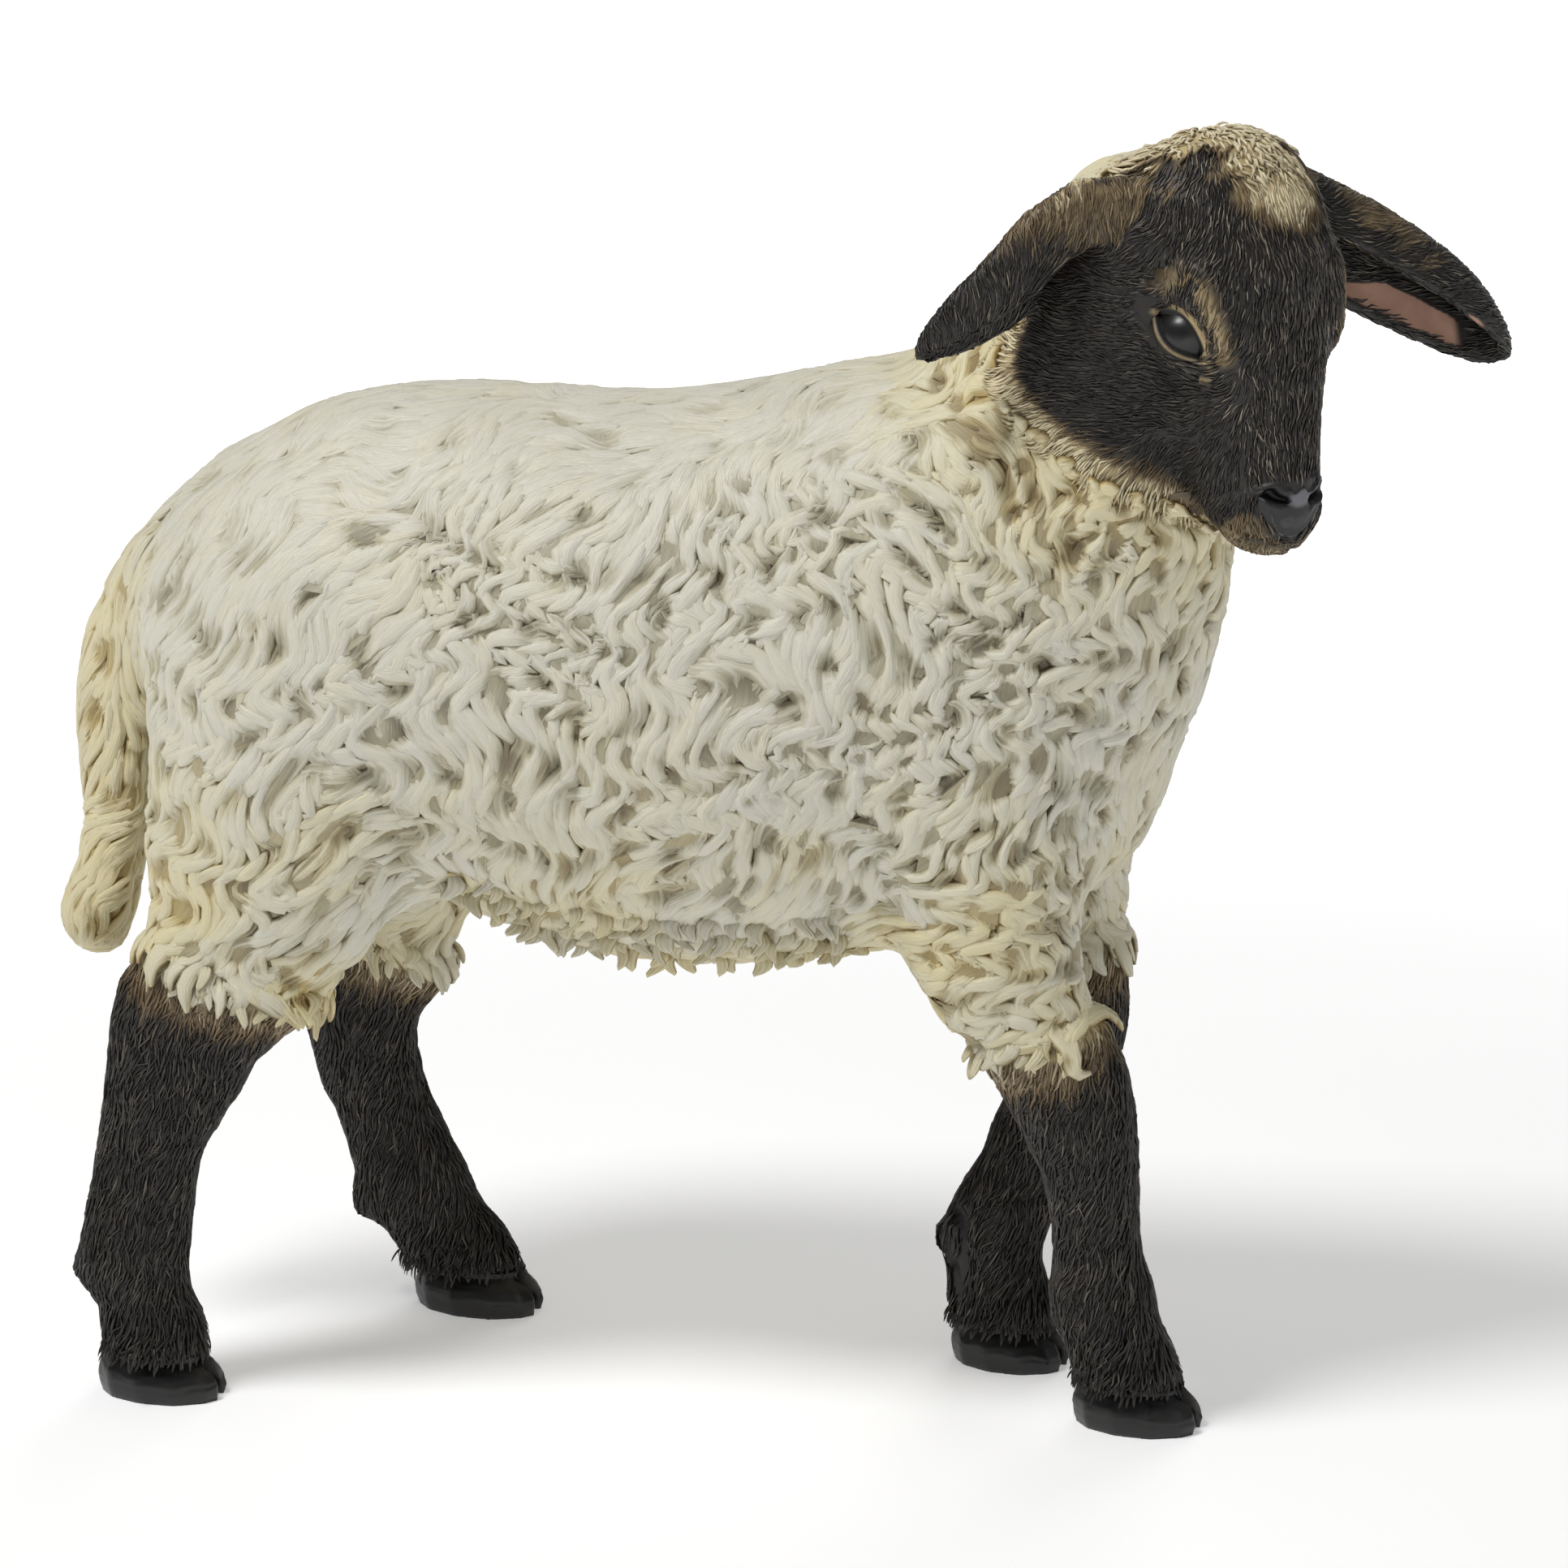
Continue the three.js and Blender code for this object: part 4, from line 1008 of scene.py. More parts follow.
fleece += [hanging("fleece_hems", 51), hanging("fleece_belly_edges", 53)]
hair_pieces = [hanging("hair_coronets", 55)]

# ------------------------------------------------------------------ the rest of the skin

ground_skin = skin + skin_normal * ground[:, None]

EAR_WAYS = {"ear_left": (0.45, 0.85, -0.12), "ear_right": (0.25, -0.78, -0.62)}
EAR_SLOTS = 24  # along an ear, to find its edges in


def ear_places(own, toward):
    """How far an ear's corners are from its root to its tip, and from its top edge to its bottom one."""
    axis = unit(np.array(toward))
    reach = skin[own] @ axis
    along = (reach - reach.min()) / np.ptp(reach)
    drop = skin[own] @ unit(across(np.array([0, 0, -1.0]), axis))
    slots = np.minimum((along * EAR_SLOTS).astype(int), EAR_SLOTS - 1)
    high_edge, low_edge = np.full(EAR_SLOTS, 1e9), np.full(EAR_SLOTS, -1e9)
    np.minimum.at(high_edge, slots, drop)
    np.maximum.at(low_edge, slots, drop)
    mids = (np.arange(EAR_SLOTS) + 0.5) / EAR_SLOTS
    top, bottom = (np.interp(along, mids, e) for e in (high_edge, low_edge))
    return along, np.clip((drop - top) / (bottom - top), 0, 1)


# Inside the ears, the skin looks at itself.
looks_in = np.zeros(len(skin))
for i in np.flatnonzero(is_ear).tolist():
    hit = skin_tree.ray_cast(Vector(skin[i] + skin_normal[i] * 1.5 * MM), Vector(skin_normal[i]), 26 * MM)
    looks_in[i] = hit[0] is not None
looks_in = spread(looks_in, 4) * is_ear

ear_along, ear_low = np.zeros(len(skin)), np.zeros(len(skin))
for ear, toward in EAR_WAYS.items():
    own = np.flatnonzero(names == ear)
    ear_along[own], ear_low[own] = ear_places(own, toward)

# The left ear is turned so that the lower half of its inside faces forwards.
own = np.flatnonzero(names == "ear_left")
fold = np.interp(ear_along[own], [0.1, 0.45, 0.75, 0.95], [0.9, 0.6, 0.58, 0.6])
bare = ramp(ear_low[own] - fold, -0.03, 0.03) * (1 - ramp(ear_low[own], 0.84, 0.94))
bare *= 1 - ramp(ear_along[own], 0.7, 0.84)
facing = ramp(skin_normal[own] @ np.array([0.16, -0.95, 0.27]), -0.2, 0.15)
looks_in[own] = bare * np.maximum(facing, looks_in[own])
ear_tan = 0.43 * (1 - ramp(ear_low + 0.1 * sway_fine(skin * 2), 0.2, 0.6))
ear_tan = ear_tan * (1 - ramp(ear_along, 0.35, 0.75)) * ramp(ear_along, 0.0, 0.22) * is_ear


def markings(p, near_wool, below_wool, in_ear):
    """How pale the dark hair is: cream on the crown and forehead and beside the wool, tan at the
    ears' roots, round the mouth and below the fleece of the legs."""
    h = into_head(p) / MM
    x, y, z = h.T
    on_head = 1 - ramp(np.linalg.norm(h - np.array([0, 0, -15]), axis=-1), 78, 90)
    rough = 3.0 * sway_fine(p * 3.0)
    crown = ramp(-x - 5 * ramp(np.abs(y - 4), 12, 26) + rough, 36, 47) * ramp(z, -34, -18)
    blaze = blob(h + rough[:, None] * 0.5, (-33, 3, 17), (20, 21, 18))
    crown = np.maximum(crown, 0.9 * blaze)
    ear_top = 0.4 * ramp(-x + rough, 30, 42) * ramp(np.abs(y), 18, 28) * (1 - ramp(np.abs(y), 34, 44))
    lips = 0.42 * ramp(-z, 9, 15) * ramp(x, 54, 60)
    under = 0.45 * ramp(-z + 0.25 * x, 40, 50) * ramp(x, 10, 35)
    brow = 0
    for side in (LEFT, RIGHT):
        at, _, corner, up = eye_frame(side)
        a, b, far = (p - at) @ corner / MM, (p - at) @ up / MM, np.linalg.norm(p - at, axis=-1) / MM
        line = np.interp(a, [-13, -10, -2, 5, 9.5, 13], [0.5, 1.0, 4.6, 4.2, 1.6, -3.0])
        tall = np.interp(a, [-13, -7, 2, 8, 13], [0.6, 0.9, 1.5, 3.0, 2.4])
        streak = ramp(b - line, -3.0, -1.5) * (1 - ramp(b - line, tall * 0.6, tall * 1.3))
        brow = np.maximum(brow, 0.62 * streak * ramp(a, -14, -9) * (1 - ramp(a, 12, 16)) * (far < 22))
    tan = np.maximum.reduce([crown, ear_top, lips, under, brow]) * on_head
    on_legs = 0.62 * ramp(below_wool, 0.0, 0.17) * (1 - on_head)
    beside_wool = np.maximum(ramp(near_wool, 0.02, 0.32), on_legs)
    wash = np.clip(0.5 + 0.5 * sway_fine(p * 2.2), 0, 1)
    tan = np.maximum(tan, beside_wool * (0.75 + 0.25 * on_head))
    return np.clip(tan * (0.8 + 0.3 * wash), 0, 1) * (1 - in_ear)


below_wool = spread(is_wool.astype(float), 260)
tan = np.maximum(markings(skin, wool_near, below_wool, looks_in), ear_tan * (1 - looks_in))
depth, leather, dark, _ = muzzle_form(skin)
band, wave = bands(skin)
layers = {
    "wool": wool,
    # The under-wool is painted darker than its height alone would make it: painted shade in the gaps
    # between the locks.
    "rise": ground / COAT_DEPTH - 0.2,
    "warm": warmth(skin),
    "tan": tan,
    "leather": leather,
    "shade": dark,
    "pink": looks_in,
    "wear_and_highlight": np.zeros(len(skin)),
    "band": band,
    "wave": wave,
}
hollow = skin_normal * (MM * (np.clip(depth, 0, None) + 0.5 * (leather + dark)))[:, None]
shown = ground_skin - hollow

patches = []
for side in (LEFT, RIGHT):
    verts, faces, tan, dark = lids(side)
    patches.append((verts, [faces], {"tan": tan, "shade": dark}))
verts, faces, cap, leather, dark, wear_and_highlight = muzzle()
tan = markings(verts, 0, 0, 0) * (1 - leather)
patches.append((verts, [faces, cap], {"tan": tan, "leather": leather, "shade": dark, "wear_and_highlight": wear_and_highlight}))

# From here on, roots and paths also find the lids and the nose.
for verts, faces, values in patches:
    quads = np.concatenate([quads, faces[0] + len(skin)])
    skin = np.concatenate([skin, verts])
    for key in layers:
        layers[key] = np.concatenate([layers[key], values.get(key, np.zeros(len(verts)))])
    wool_near = np.append(wool_near, np.zeros(len(verts)))
ways = face_ways(skin[quads])
quad_middle = quad_mean(skin)
quad_area = np.linalg.norm(ways, axis=1) / 2
quad_normal = unit(ways)
head_number = FLESH.index("head")
quad_part = np.append(quad_part, np.full(len(quads) - len(quad_part), head_number))
part_name = np.array(FLESH)[quad_part]
quad_wool = quad_mean(layers["wool"])
skin_tree = BVHTree.FromPolygons(skin.tolist(), quads.tolist())

# ------------------------------------------------------------------ short hair

quad_ear = np.char.startswith(part_name, "ear")
quad_head = part_name == "head"


def hair_way(p, n):
    """Down the legs and the ears; on the head, from the crown to the nose and round the cheeks."""
    h = into_head(p) / MM
    x, y, z = h.T[:, :, None]
    side = np.clip(y / 6, -1, 1)
    round_head = np.arctan2(np.abs(y), z + 20)  # 0 on top, pi below
    mid = 1 - ramp(round_head, 0.15, 0.9)
    cheek = ramp(round_head, 0.9, 1.7)
    muzzle_here = ramp(x, 18, 50)
    forward = np.array([1.0, 0, 0])
    outward = np.concatenate([np.zeros_like(side), side, np.zeros_like(side)], 1)
    drop = np.array([-0.55, 0, -0.9])
    way = forward * (0.35 + 0.9 * mid) + outward * (0.75 * (1 - mid)) * (1 - 0.8 * muzzle_here)
    way = way * (1 - cheek) + cheek * (drop * (1 - 0.3 * muzzle_here) + forward * 0.9 * muzzle_here)
    way = way @ HEAD_AXES.T
    way = np.where((p[:, 2] < HEAD_LOWEST)[:, None], np.array([-0.3, 0, -1.0]), way)
    return unit(across(way, n))


# On the ears the hair runs to their tips, and beside the fleece it turns towards it.
raw = hair_way(quad_middle, quad_normal)
for ear, toward in EAR_WAYS.items():
    here = part_name == ear
    raw[here] = unit(across(np.array(toward) + np.zeros((here.sum(), 3)), quad_normal[here]))
to_wool = np.zeros_like(raw)
for k in range(4):
    rise_there = wool_near[quads[:, k]] - quad_mean(wool_near)
    to_wool += rise_there[:, None] * (skin[quads[:, k]] - quad_middle)
beside_wool = ramp(quad_mean(wool_near), 0.04, 0.25)[:, None] * quad_head[:, None]
raw = unit(across(raw * (1 - beside_wool) + 1.6 * unit(to_wool) * beside_wool, quad_normal))

# The ways are evened out, from each corner to those that share an edge with it.
hair_at = gathered(quads.ravel(), np.repeat(raw, 4, axis=0), len(skin))
pairs = np.concatenate([quads[:, [0, 1]], quads[:, [1, 2]], quads[:, [2, 3]], quads[:, [3, 0]]])
pairs = np.concatenate([pairs, pairs[:, ::-1]])
shared = np.maximum(np.bincount(pairs[:, 0], minlength=len(skin)), 1)
for _ in range(14):
    hair_at = gathered(pairs[:, 0], hair_at[pairs[:, 1]], len(skin)) / shared[:, None]
quad_hair_way = unit(across(quad_mean(hair_at), quad_normal))


def hair_lie(p, n, face):
    """The way the short hair lies, which wanders a little."""
    return turned(unit(across(quad_hair_way[face], n)), n, 0.22 * sway_fine(p * 1.6))


# Each face's kind of hair. The pale hair between the ears stands up most.
hair_size = np.array(list(HAIR.values())) * MM
kind = np.select([quad_ear, quad_head], [EAR, HEAD], LEG)
quad_head_place = into_head(quad_middle) / MM
on_crown = (quad_mean(layers["tan"]) > 0.5) & (quad_head_place[:, 0] < -34) & (kind != LEG)
kind[on_crown & (np.abs(quad_head_place[:, 1]) < 30)] = CROWN
hair_here = hair_size[kind]


def hair_room():
    """Where short hair grows: not on the fleece or the nose, in the mouth's line, inside the ears,
    under the finer patch of the muzzle or close round the eyes."""
    room = (quad_wool < 0.5) * (1 - quad_mean(layers["leather"])) * (quad_mean(layers["shade"]) < 0.5)
    room *= quad_mean(layers["pink"]) < 0.4
    ahead = unit(quad_head_place - MUZZLE_AT / MM) @ unit(np.array([1, 0, -0.12]))
    room[quad_head & (ahead > 0.1) & (np.arange(len(quads)) < len(base_quads))] = 0
    for side in (LEFT, RIGHT):
        a, b, far = round_eye(quad_middle, side)
        room[(np.hypot((a + 0.3) / 12.8, (b - 0.1) / 6.9) < 1) & (far < 22)] = 0
    return room


def short_hair():
    """The short dark hair: a piece for each side of the head, the ears, and each pair of legs."""
    roots = scattered(hair_room(), hair_here[:, 0], seed=31, tries=5)
    rng = np.random.default_rng(32)
    _, length, half, tall, curl = hair_here[roots].T
    fringe = beside_wool[roots, 0]
    length = length * rng.uniform(0.7, 1.25, len(roots)) * (1 + 0.25 * fringe)
    path = traced(roots, hair_lie, length, HAIR_STEPS)

    # Hairs that would run onto the nose or into the mouth are left out.
    on_nose = quad_mean(layers["leather"]) + ramp(quad_mean(layers["shade"]), 0.5, 0.75)
    kept = np.flatnonzero(on_nose[path[3]].max(1) <= 0.4)
    places, normals, ways, faces = (v[kept] for v in path)
    roots, length, half, tall, curl, fringe = (v[kept] for v in (roots, length, half, tall, curl, fringe))
    count = len(kept)

    # How wide each hair is along it, and how it wiggles and lifts.
    sides = np.cross(normals, ways)
    s = np.linspace(0, 1, HAIR_STEPS)[None]
    wiggle = rng.normal(0, 1, count) * curl
    wiggle = wiggle[:, None] * np.sin(s * 5.5 + rng.uniform(0, 6, count)[:, None])
    belt = np.sin(np.pi * np.clip(s * 0.86 + 0.1, 0, 1)) ** 0.8
    half_w = half[:, None] * belt * rng.uniform(0.7, 1.3, count)[:, None]
    lift = tall[:, None] * (ramp(s, 0, 0.5) * rng.uniform(0.3, 1.0, count)[:, None]) - HAIR_BEDDED
    lift = lift + quad_wool[faces] * (BAND - HAIR_UNDER) + (FRINGE_RISE * fringe)[:, None] * s
    over_hoof = 1 - ramp(places[..., 2], 22 * MM, 34 * MM)
    lift = lift + HOOF_RISE * over_hoof * s

    # Its colours, and the piece that it belongs to.
    tan = quad_mean(layers["tan"])
    pale = 0.3 * tan[roots][:, None] + 0.7 * tan[faces]
    tone = rng.uniform(0, 1, count)
    h = into_head(quad_middle[roots]) / MM
    on_top = 1 - ramp(np.arctan2(np.abs(h[:, 1] - 2), h[:, 2] + 20), 0.45, 1.3)
    leg, ear = kind[roots] == LEG, kind[roots] == EAR
    # How light each hair's crest is painted, as dry-brushed paint and painted highlight: least on the
    # legs, more on the ears, and on the head most on its top.
    brush_and_highlight = np.select([leg, ear], [0.22, 0.4], 0.12 + 0.88 * on_top)
    group = np.select(
        [ear, ~leg & (h[:, 1] > 0), ~leg, quad_middle[roots, 0] > 0],
        ["ears", "head_left", "head_right", "forelegs"],
        "hindlegs",
    )
    u, v = SLIVER.T
    pieces = []
    for name in np.unique(group):
        k = np.flatnonzero(group == name)
        x = wiggle[k, :, None] + half_w[k, :, None] * u
        z = lift[k, :, None] + (0.9 * half_w[k])[..., None] * v
        along = np.broadcast_to(s[..., None], z.shape)
        values = {
            # Lightest along each hair's crest: dry-brushed paint and painted highlight.
            "rise": 0.15 + 0.85 * v * np.sin(np.pi * (0.12 + 0.8 * along)),
            "tone": tone[k, None, None],
            "tan": pale[k, :, None],
            "brush_and_highlight": brush_and_highlight[k, None, None],
        }
        made = rings(places[k], normals[k], sides[k], x, z)
        uvs = tuft_uvs(roots[k], u, u * (half[k] / MM)[:, None, None], along, length[k], tone[k])
        pieces.append(strips_piece(f"hair_{name}", *made, values, uvs))
    return pieces


hair_pieces += short_hair()

# ------------------------------------------------------------------ hooves


def hoof(node):
    """A claw, smooth, with faint rings of growth and its sole flat on the floor."""
    verts, _, tris = merged_node(node)
    low, high = verts.min(0), verts.max(0)
    corners, faces, edges = remeshed(verts, tris, HOOF_CELL)
    corners = evened(corners, edges, 9, 0.5)
    way = corner_normals(corners, faces)
    height = (corners[:, 2] - low[2]) / (high[2] - low[2])
    wall = 1 - ramp(np.abs(way[:, 2]), 0.6, 0.9)
    ring = np.sin(corners[:, 2] / GROWTH_RING + 1.5 * sway_fine(corners * 3))
    swollen = 0.3 * MM - 2.2 * MM * ramp(height, 0.4, 1.0) + 0.07 * MM * ring * ramp(height, 0.1, 0.3)
    corners += way * swollen[:, None] * wall[:, None]
    corners[:, 2] = np.maximum(corners[:, 2], low[2])
    corners[:, 2] = np.where(height < 0.06, low[2], corners[:, 2])
    front = (corners[:, 0] - low[0]) / (high[0] - low[0])
    to_cleft = LEFT if node.endswith("right") else RIGHT
    sideways = to_cleft * (corners[:, 1] - (low[1] + high[1]) / 2) / (high[1] - low[1])
    beside_cleft = ramp(front, 0.62, 0.9) * ramp(height, 0.15, 0.5) * ramp(sideways, -0.15, 0.3)
    wear_and_highlight = beside_cleft + 0.35 * (1 - ramp(height, 0.08, 0.2)) * wall
    return mesh_piece(f"{node}_hoof", corners, [faces], {"wear_and_highlight": wear_and_highlight, "height": height})


hooves = {node: hoof(node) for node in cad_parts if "claw" in node}

# ------------------------------------------------------------------ materials


def linear(hex_colour):
    """A colour as the shaders take it."""
    v = np.array([int(hex_colour[i : i + 2], 16) for i in (1, 3, 5)]) / 255
    return (*np.where(v <= 0.04045, v / 12.92, ((v + 0.055) / 1.055) ** 2.4), 1.0)


class Socket:
    """A node's output, with the sums that the materials use."""

    def __init__(self, paint, out):
        self.paint, self.out = paint, out

    def _math(self, operation, *values, clamp=False):
        settings = {"operation": operation, "use_clamp": clamp}
        return self.paint.node("ShaderNodeMath", settings, dict(enumerate(values)))

    def __add__(self, other):
        return self._math("ADD", self, other)

    __radd__ = __add__

    def __mul__(self, other):
        return self._math("MULTIPLY", self, other)

    __rmul__ = __mul__

    def __sub__(self, other):
        return self._math("SUBTRACT", self, other)

    def __rsub__(self, other):
        return self._math("SUBTRACT", other, self)

    def ramp(self, low, high):
        return self.paint.node(
            "ShaderNodeMapRange",
            {"interpolation_type": "SMOOTHSTEP", "clamp": True},
            {"Value": self, "From Min": low, "From Max": high, "To Min": 0.0, "To Max": 1.0},
        )

    def clipped(self):
        return self._math("ADD", self, 0.0, clamp=True)


class Paint:
    """A material whose nodes are made by one method."""

    def __init__(self, name):
        self.material = bpy.data.materials.new(name)
        self.material.use_nodes = True
        self.tree = self.material.node_tree
        self.shader = self.tree.nodes["Principled BSDF"]

    def node(self, kind, settings=None, inputs=None, out=0):
        node = self.tree.nodes.new(kind)
        for key, value in (settings or {}).items():
            setattr(node, key, value)
        for key, value in (inputs or {}).items():
            self.join(node.inputs[key], value)
        return Socket(self, node.outputs[out])

    def join(self, socket, value):
        if isinstance(value, Socket):
            self.tree.links.new(value.out, socket)
        else:
            socket.default_value = linear(value) if isinstance(value, str) else value

    def attribute(self, name):
        return self.node("ShaderNodeAttribute", {"attribute_name": name}, out="Fac")

    def lines(self, across, along):
        """Fine noise, drawn out along each tuft."""
        lie = self.node("ShaderNodeUVMap", {"uv_map": "lie"})
        inputs = {"Vector": lie, "Scale": (across, along, 1.0)}
        return self.noise(1.0, 2.0, self.node("ShaderNodeMapping", {"vector_type": "POINT"}, inputs))

    def place(self):
        return self.node("ShaderNodeTexCoord", out="Object")

    def noise(self, scale, detail=3.0, vector=None):
        inputs = {"Vector": vector or self.place(), "Scale": scale, "Detail": detail}
        return self.node("ShaderNodeTexNoise", None, inputs)

    def mix(self, a, b, factor):
        colours = {0: factor, 6: a, 7: b}
        return self.node("ShaderNodeMix", {"data_type": "RGBA"}, colours, out=2)

    def finish(self, **inputs):
        for key, value in inputs.items():
            self.join(self.shader.inputs[key.replace("_", " ")], value)
        return self.material

    def bump(self, height, strength, distance):
        inputs = {"Height": height, "Strength": strength, "Distance": distance}
        return self.node("ShaderNodeBump", None, inputs)


def cream_colour(p, height, warm, mottle):
    """Cream on the crests of the fleece, and darker the lower it lies: a thin tan wash in its recesses
    that is real paint and also painted shade, darkest in the deepest pits.
    """
    yellow = (warm + (mottle - 0.5) * 0.6).clipped()
    cream = p.mix("#d2cfc0", "#dacfa6", yellow)
    wash = p.mix("#b8b49e", "#b5a169", yellow)
    deep = p.mix("#827c66", "#876d3b", yellow)
    colour = p.mix(deep, wash, height.ramp(0.15, 0.58))
    return p.mix(colour, cream, height.ramp(0.5, 0.86))


def fleece_paint():
    """Cream resin with carved lines along each lock."""
    p = Paint("fleece_paint")
    rise, tone, warm = (p.attribute(k) for k in ("rise", "tone", "warm"))
    mottle = p.noise(60.0, 3.0)
    fine = p.noise(420.0, 2.0)
    lines = p.lines(220.0, 12.0)
    # Lower places and the grooves of the carved lines are painted darker, as paint wash and painted
    # shade.
    height = rise + (mottle - 0.5) * 0.15 + (fine - 0.5) * 0.08 + (lines - 0.5) * 0.22
    colour = cream_colour(p, height, warm + (tone - 0.5) * 0.25, mottle)
    return p.finish(
        Base_Color=colour,
        Roughness=0.5 + (fine - 0.5) * 0.25,
        Normal=p.bump(lines + fine * 0.2, 0.75, 0.0006),
    )


def hair_paint():
    """Brown-black resin, lighter on the crests of the hair as dry-brushed paint and painted highlight,
    cream and tan in its markings.
    """
    p = Paint("hair_paint")
    rise, tone, tan, brush_and_highlight = (p.attribute(k) for k in ("rise", "tone", "tan", "brush_and_highlight"))
    mottle = p.noise(90.0, 3.0)
    lines = p.lines(260.0, 14.0).ramp(0.3, 0.7)
    dark = p.mix("#0c0a09", "#1c1712", mottle)
    # The crests painted lighter: dry-brushed paint and painted highlight.
    rubbed = tone * tone * tone * (brush_and_highlight * 1.7 + 0.15) + (mottle - 0.5) * 0.4 + brush_and_highlight * 0.12
    light = p.mix("#1d1814", "#958a79", rubbed.clipped())
    black = p.mix(dark, light, (rise + (lines - 0.5) * 0.6).ramp(0.5, 1.1))
    pale_rise = (rise * 0.55 + tone * 0.3 + lines * 0.3).clipped()
    cream = p.mix("#b4a177", "#e6dcbc", pale_rise)
    brown = p.mix("#33281c", "#86704f", pale_rise)
    colour = p.mix(black, brown, (tan + (tone - 0.5) * 0.25).ramp(0.12, 0.5))
    colour = p.mix(colour, cream, (tan + (tone - 0.5) * 0.3).ramp(0.45, 0.85))
    return p.finish(
        Base_Color=colour,
        Roughness=0.46 + (mottle - 0.5) * 0.2,
        Normal=p.bump(lines, 0.4, 0.0002),
    )


def skin_paint():
    """The resin under the hair and fleece, the lids and the nose."""
    p = Paint("skin_paint")
    wool_here, warm, rise, tan, leather, shade, pink, wear_and_highlight = (
        p.attribute(k) for k in ("wool", "warm", "rise", "tan", "leather", "shade", "pink", "wear_and_highlight")
    )
    mottle, fine = p.noise(90.0, 3.0), p.noise(700.0, 2.0)
    band, wave = p.attribute("band"), p.attribute("wave")
    flow = p.node("ShaderNodeCombineXYZ", None, {"X": band * 12.0, "Y": wave * 0.5})
    strands = p.noise(1.0, 3.0, flow) * wool_here
    dark = p.mix("#0e0c0a", "#1e1915", mottle)
    pale = p.mix("#5c4c35", "#c2ae80", (tan + (fine - 0.5) * 0.5).clipped())
    colour = p.mix(dark, pale, (tan + (mottle - 0.5) * 0.3).ramp(0.15, 0.7))
    colour = p.mix(colour, p.mix("#8c6654", "#c09a85", mottle), pink.ramp(0.3, 0.8))
    colour = p.mix(colour, p.mix("#0e0e0e", "#202020", mottle), leather)
    # Painted highlight: bluish grey on the nose leather where light would glint off it; on the hooves the
    # same grey is wear.
    colour = p.mix(colour, "#7a7a80", ((wear_and_highlight + (mottle - 0.5) * 0.8) * 0.8).ramp(0.3, 1.1))
    colour = p.mix(colour, "#060505", shade.ramp(0.2, 0.9))
    # The under-wool darkens where it lies lower and in its strands' grooves, as paint wash and painted
    # shade.
    height = rise + (mottle - 0.5) * 0.1 + (strands - 0.5) * 0.35
    colour = p.mix(colour, cream_colour(p, height, warm, mottle), wool_here)
    return p.finish(
        Base_Color=colour,
        Roughness=0.5 + (mottle - 0.5) * 0.2 - leather * 0.03,
        Normal=p.bump(fine * 0.2 + strands, 0.6, 0.0008),
    )


def eye_paint():
    """Black, with a ring that is a little paler for the iris."""
    p = Paint("eye_paint")
    iris = p.attribute("iris")
    colour = p.mix("#050505", "#1d1c1b", iris)
    return p.finish(Base_Color=colour, Roughness=0.34)


def hoof_paint():
    """Black horn, rubbed grey beside the cleft and along the edge of the sole."""
    p = Paint("hoof_paint")
    wear_and_highlight, height = p.attribute("wear_and_highlight"), p.attribute("height")
    mottle, fine = p.noise(140.0, 4.0), p.noise(600.0, 2.0)
    black = p.mix("#090909", "#1f1d1c", (mottle + height * 0.15).clipped())
    colour = p.mix(black, "#6d6b69", ((wear_and_highlight + (mottle - 0.5) * 0.9) * 0.9).ramp(0.35, 1.2))
    return p.finish(
        Base_Color=colour,
        Roughness=0.34 + (mottle - 0.5) * 0.25,
        Normal=p.bump(fine * 0.3 + mottle, 0.25, 0.0003),
    )


# ------------------------------------------------------------------ one skin

# The skin under the coat is thinned where the fleece hides it, and joined to the lids and nose.
base_layers = {key: value[: len(shown)] for key, value in layers.items()}
base = mesh_piece("base", shown, [base_quads], base_layers)
keep = base.vertex_groups.new(name="thin")
thin = np.clip(np.round(wool * 10) / 10, 0.02, 1)
for level in np.unique(thin):
    keep.add(np.flatnonzero(thin == level).tolist(), float(level), "REPLACE")
fewer = base.modifiers.new("fewer", "DECIMATE")
fewer.ratio = 0.3
fewer.vertex_group = "thin"
fewer.vertex_group_factor = 1.0


def thinned(mesh):
    """The corners, triangles and painted values of a mesh."""
    mesh.calc_loop_triangles()
    values = {key: read(mesh.attributes[key].data, "value", 1)[:, 0] for key in layers}
    return read(mesh.vertices, "co", 3), read(mesh.loop_triangles, "vertices", 3, np.int32), values


verts, tris, values = worked_out(base, thinned)
sheets = [(verts, [tris], values), *patches]
starts = np.cumsum([0] + [len(verts) for verts, _, _ in sheets])
skin_piece = mesh_piece(
    "skin",
    np.concatenate([verts for verts, _, _ in sheets]),
    one_size_each([f + start for start, (_, faces, _) in zip(starts, sheets) for f in faces]),
    {
        key: np.concatenate([values.get(key, np.zeros(len(verts))) for verts, _, values in sheets])
        for key in layers
    },
)

# ------------------------------------------------------------------ eyes


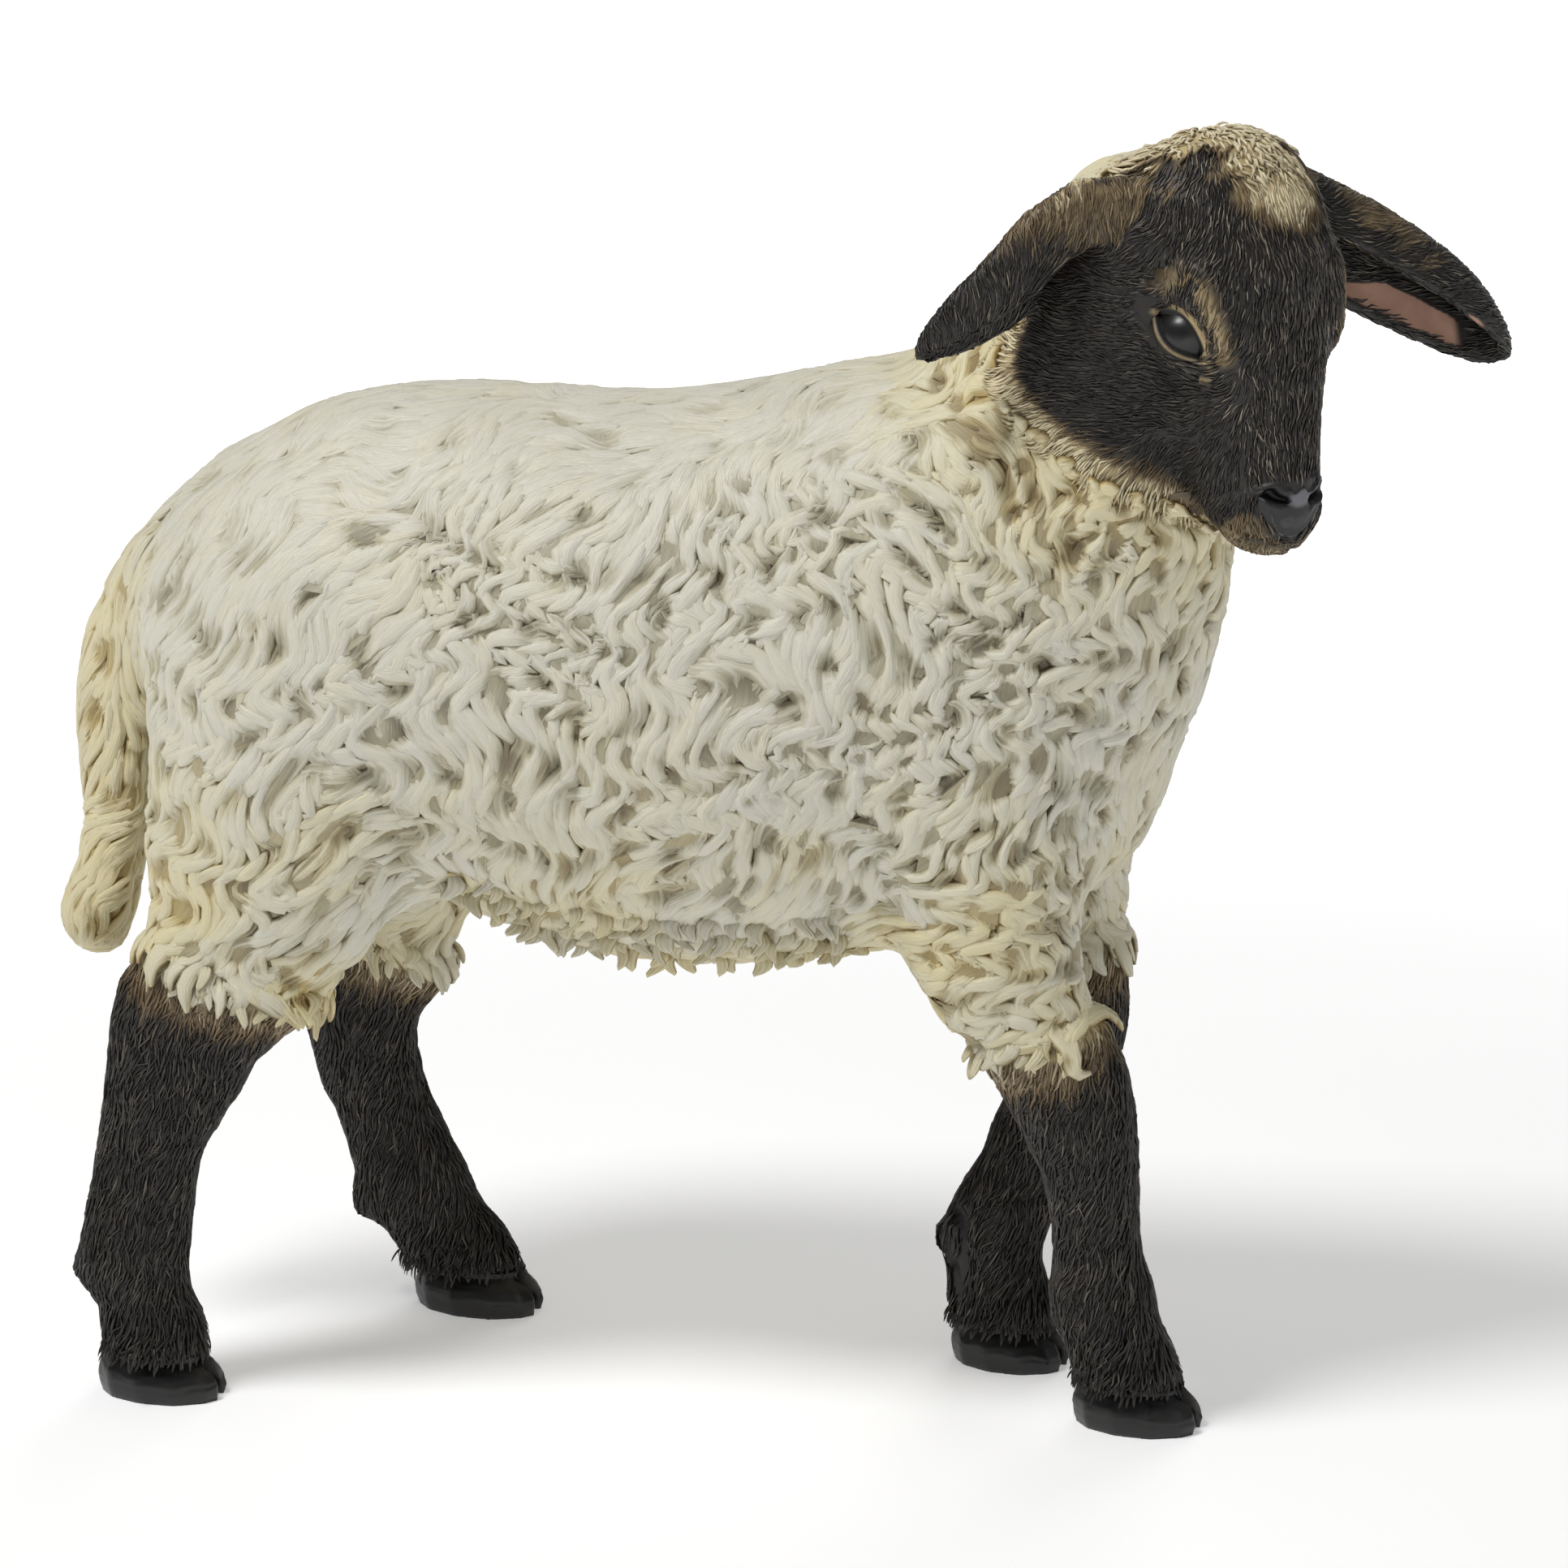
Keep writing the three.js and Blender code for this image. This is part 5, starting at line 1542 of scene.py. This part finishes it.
def eyeball(name, side, round_steps=64, rings_of=40):
    """A ball with a slightly fuller front."""
    at, outward, corner, up = eye_frame(side)
    tip = np.pi * np.arange(1, rings_of) / rings_of
    t = np.linspace(0, 2 * np.pi, round_steps, endpoint=False)
    way = (
        np.cos(tip)[:, None, None] * outward
        + np.sin(tip)[:, None, None] * (np.cos(t)[:, None] * corner + side * np.sin(t)[:, None] * up)
    )
    full = 0.5 * MM * (1 - ramp(tip, 0.2, 0.62))
    verts = at + way * (EYE_BALL + full)[:, None, None]
    iris = ramp(tip, 0.22, 0.27) * (1 - ramp(tip, 0.5, 0.58))
    number = np.arange(verts.shape[0] * round_steps).reshape(-1, round_steps)
    after = np.roll(number, -1, 1)
    poles = np.array([at + outward * (EYE_BALL + full[0]), at - outward * EYE_BALL])
    last = number.size
    caps = np.concatenate(
        [
            np.stack([np.full(round_steps, last), number[0], after[0]], -1),
            np.stack([np.full(round_steps, last + 1), after[-1], number[-1]], -1),
        ]
    )
    values = np.append(np.repeat(iris, round_steps), [0, 0])
    verts = np.concatenate([verts.reshape(-1, 3), poles])
    return mesh_piece(name, verts, [ring_faces(number), caps], {"iris": values})


eyes = []
for name, side in (("eye_left", LEFT), ("eye_right", RIGHT)):
    eyes.append(eyeball(f"{name}_ball", side))
    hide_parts(name)

for node, piece in hooves.items():
    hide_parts(node)

finishes = (
    (fleece, fleece_paint(), "fleece"),
    (hair_pieces, hair_paint(), "dark_hair"),
    ([skin_piece], skin_paint(), "dark_hair"),
    (eyes, eye_paint(), "eye"),
    (list(hooves.values()), hoof_paint(), "horn"),
)
for pieces, paint, slot in finishes:
    for piece in pieces:
        piece.data.materials.append(paint)
        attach(piece, "root")

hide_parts(*FLESH)

# ------------------------------------------------------------------ floor, light and camera


CAMERA_AIM = Vector((4.14 * MM, 14.5 * MM, 190.7 * MM))
CAMERA_ROUND, CAMERA_UP, CAMERA_AWAY = math.radians(9.6), math.radians(16.0), 2.2
LENS, SENSOR = 162.6, 36
LAMP_AIM = Vector((0, 0, 0.2))
LAMPS = {
    # name: place, width, power
    "key": ((-0.6, -0.6, 1.7), 0.5, 20),
    "fill": ((1.5, -1.2, 0.7), 1.2, 1.5),
    "rim": ((0.2, 1.4, 1.2), 1.0, 5),
}
FLOOR_HALF = 50


def looking(name, data, place, way):
    """A camera or a lamp at a place, looking one way."""
    thing = bpy.data.objects.new(name, data)
    thing.location = place
    thing.rotation_mode = "QUATERNION"
    thing.rotation_quaternion = way.to_track_quat("-Z", "Y")
    bpy.context.scene.collection.objects.link(thing)
    return thing


def camera():
    """A long lens in front, a little above."""
    back = Vector(
        (
            math.sin(CAMERA_ROUND) * math.cos(CAMERA_UP),
            -math.cos(CAMERA_ROUND) * math.cos(CAMERA_UP),
            math.sin(CAMERA_UP),
        )
    )
    data = bpy.data.cameras.new("camera")
    data.lens, data.sensor_width = LENS, SENSOR
    data.clip_start, data.clip_end = 0.05, 50
    place = CAMERA_AIM + back * CAMERA_AWAY
    bpy.context.scene.camera = looking("camera", data, place, -back)


def lamps():
    """Three round lamps and a dim white world."""
    for name, (place, width, power) in LAMPS.items():
        data = bpy.data.lights.new(name, "AREA")
        data.shape = "DISK"
        data.size, data.energy = width, power
        looking(name, data, place, LAMP_AIM - Vector(place))
    world = bpy.data.worlds.new("studio")
    world.use_nodes = True
    world.node_tree.nodes["Background"].inputs["Color"].default_value = (1, 1, 1, 1)
    world.node_tree.nodes["Background"].inputs["Strength"].default_value = 0.2
    bpy.context.scene.world = world
    bpy.context.scene.view_settings.view_transform = "Standard"


def floor():
    """A wide white floor that glows, less so near the lamb."""
    a = FLOOR_HALF
    mesh = bpy.data.meshes.new("floor")
    mesh.from_pydata([(-a, -a, 0), (a, -a, 0), (a, a, 0), (-a, a, 0)], [], [(0, 1, 2, 3)])
    plane = bpy.data.objects.new("floor", mesh)
    bpy.context.scene.collection.objects.link(plane)
    p = Paint("floor_paint")
    away = p.node("ShaderNodeVectorMath", {"operation": "LENGTH"}, {"Vector": p.place()}, out="Value")
    glow = p.mix((0.3, 0.3, 0.3, 1), (0.95, 0.95, 0.95, 1), away.ramp(0.3, 1.5))
    white = (0.9, 0.9, 0.9, 1)
    paint = p.finish(Base_Color=white, Roughness=0.8, Emission_Color=glow, Emission_Strength=1.0)
    mesh.materials.append(paint)


camera()
lamps()
floor()
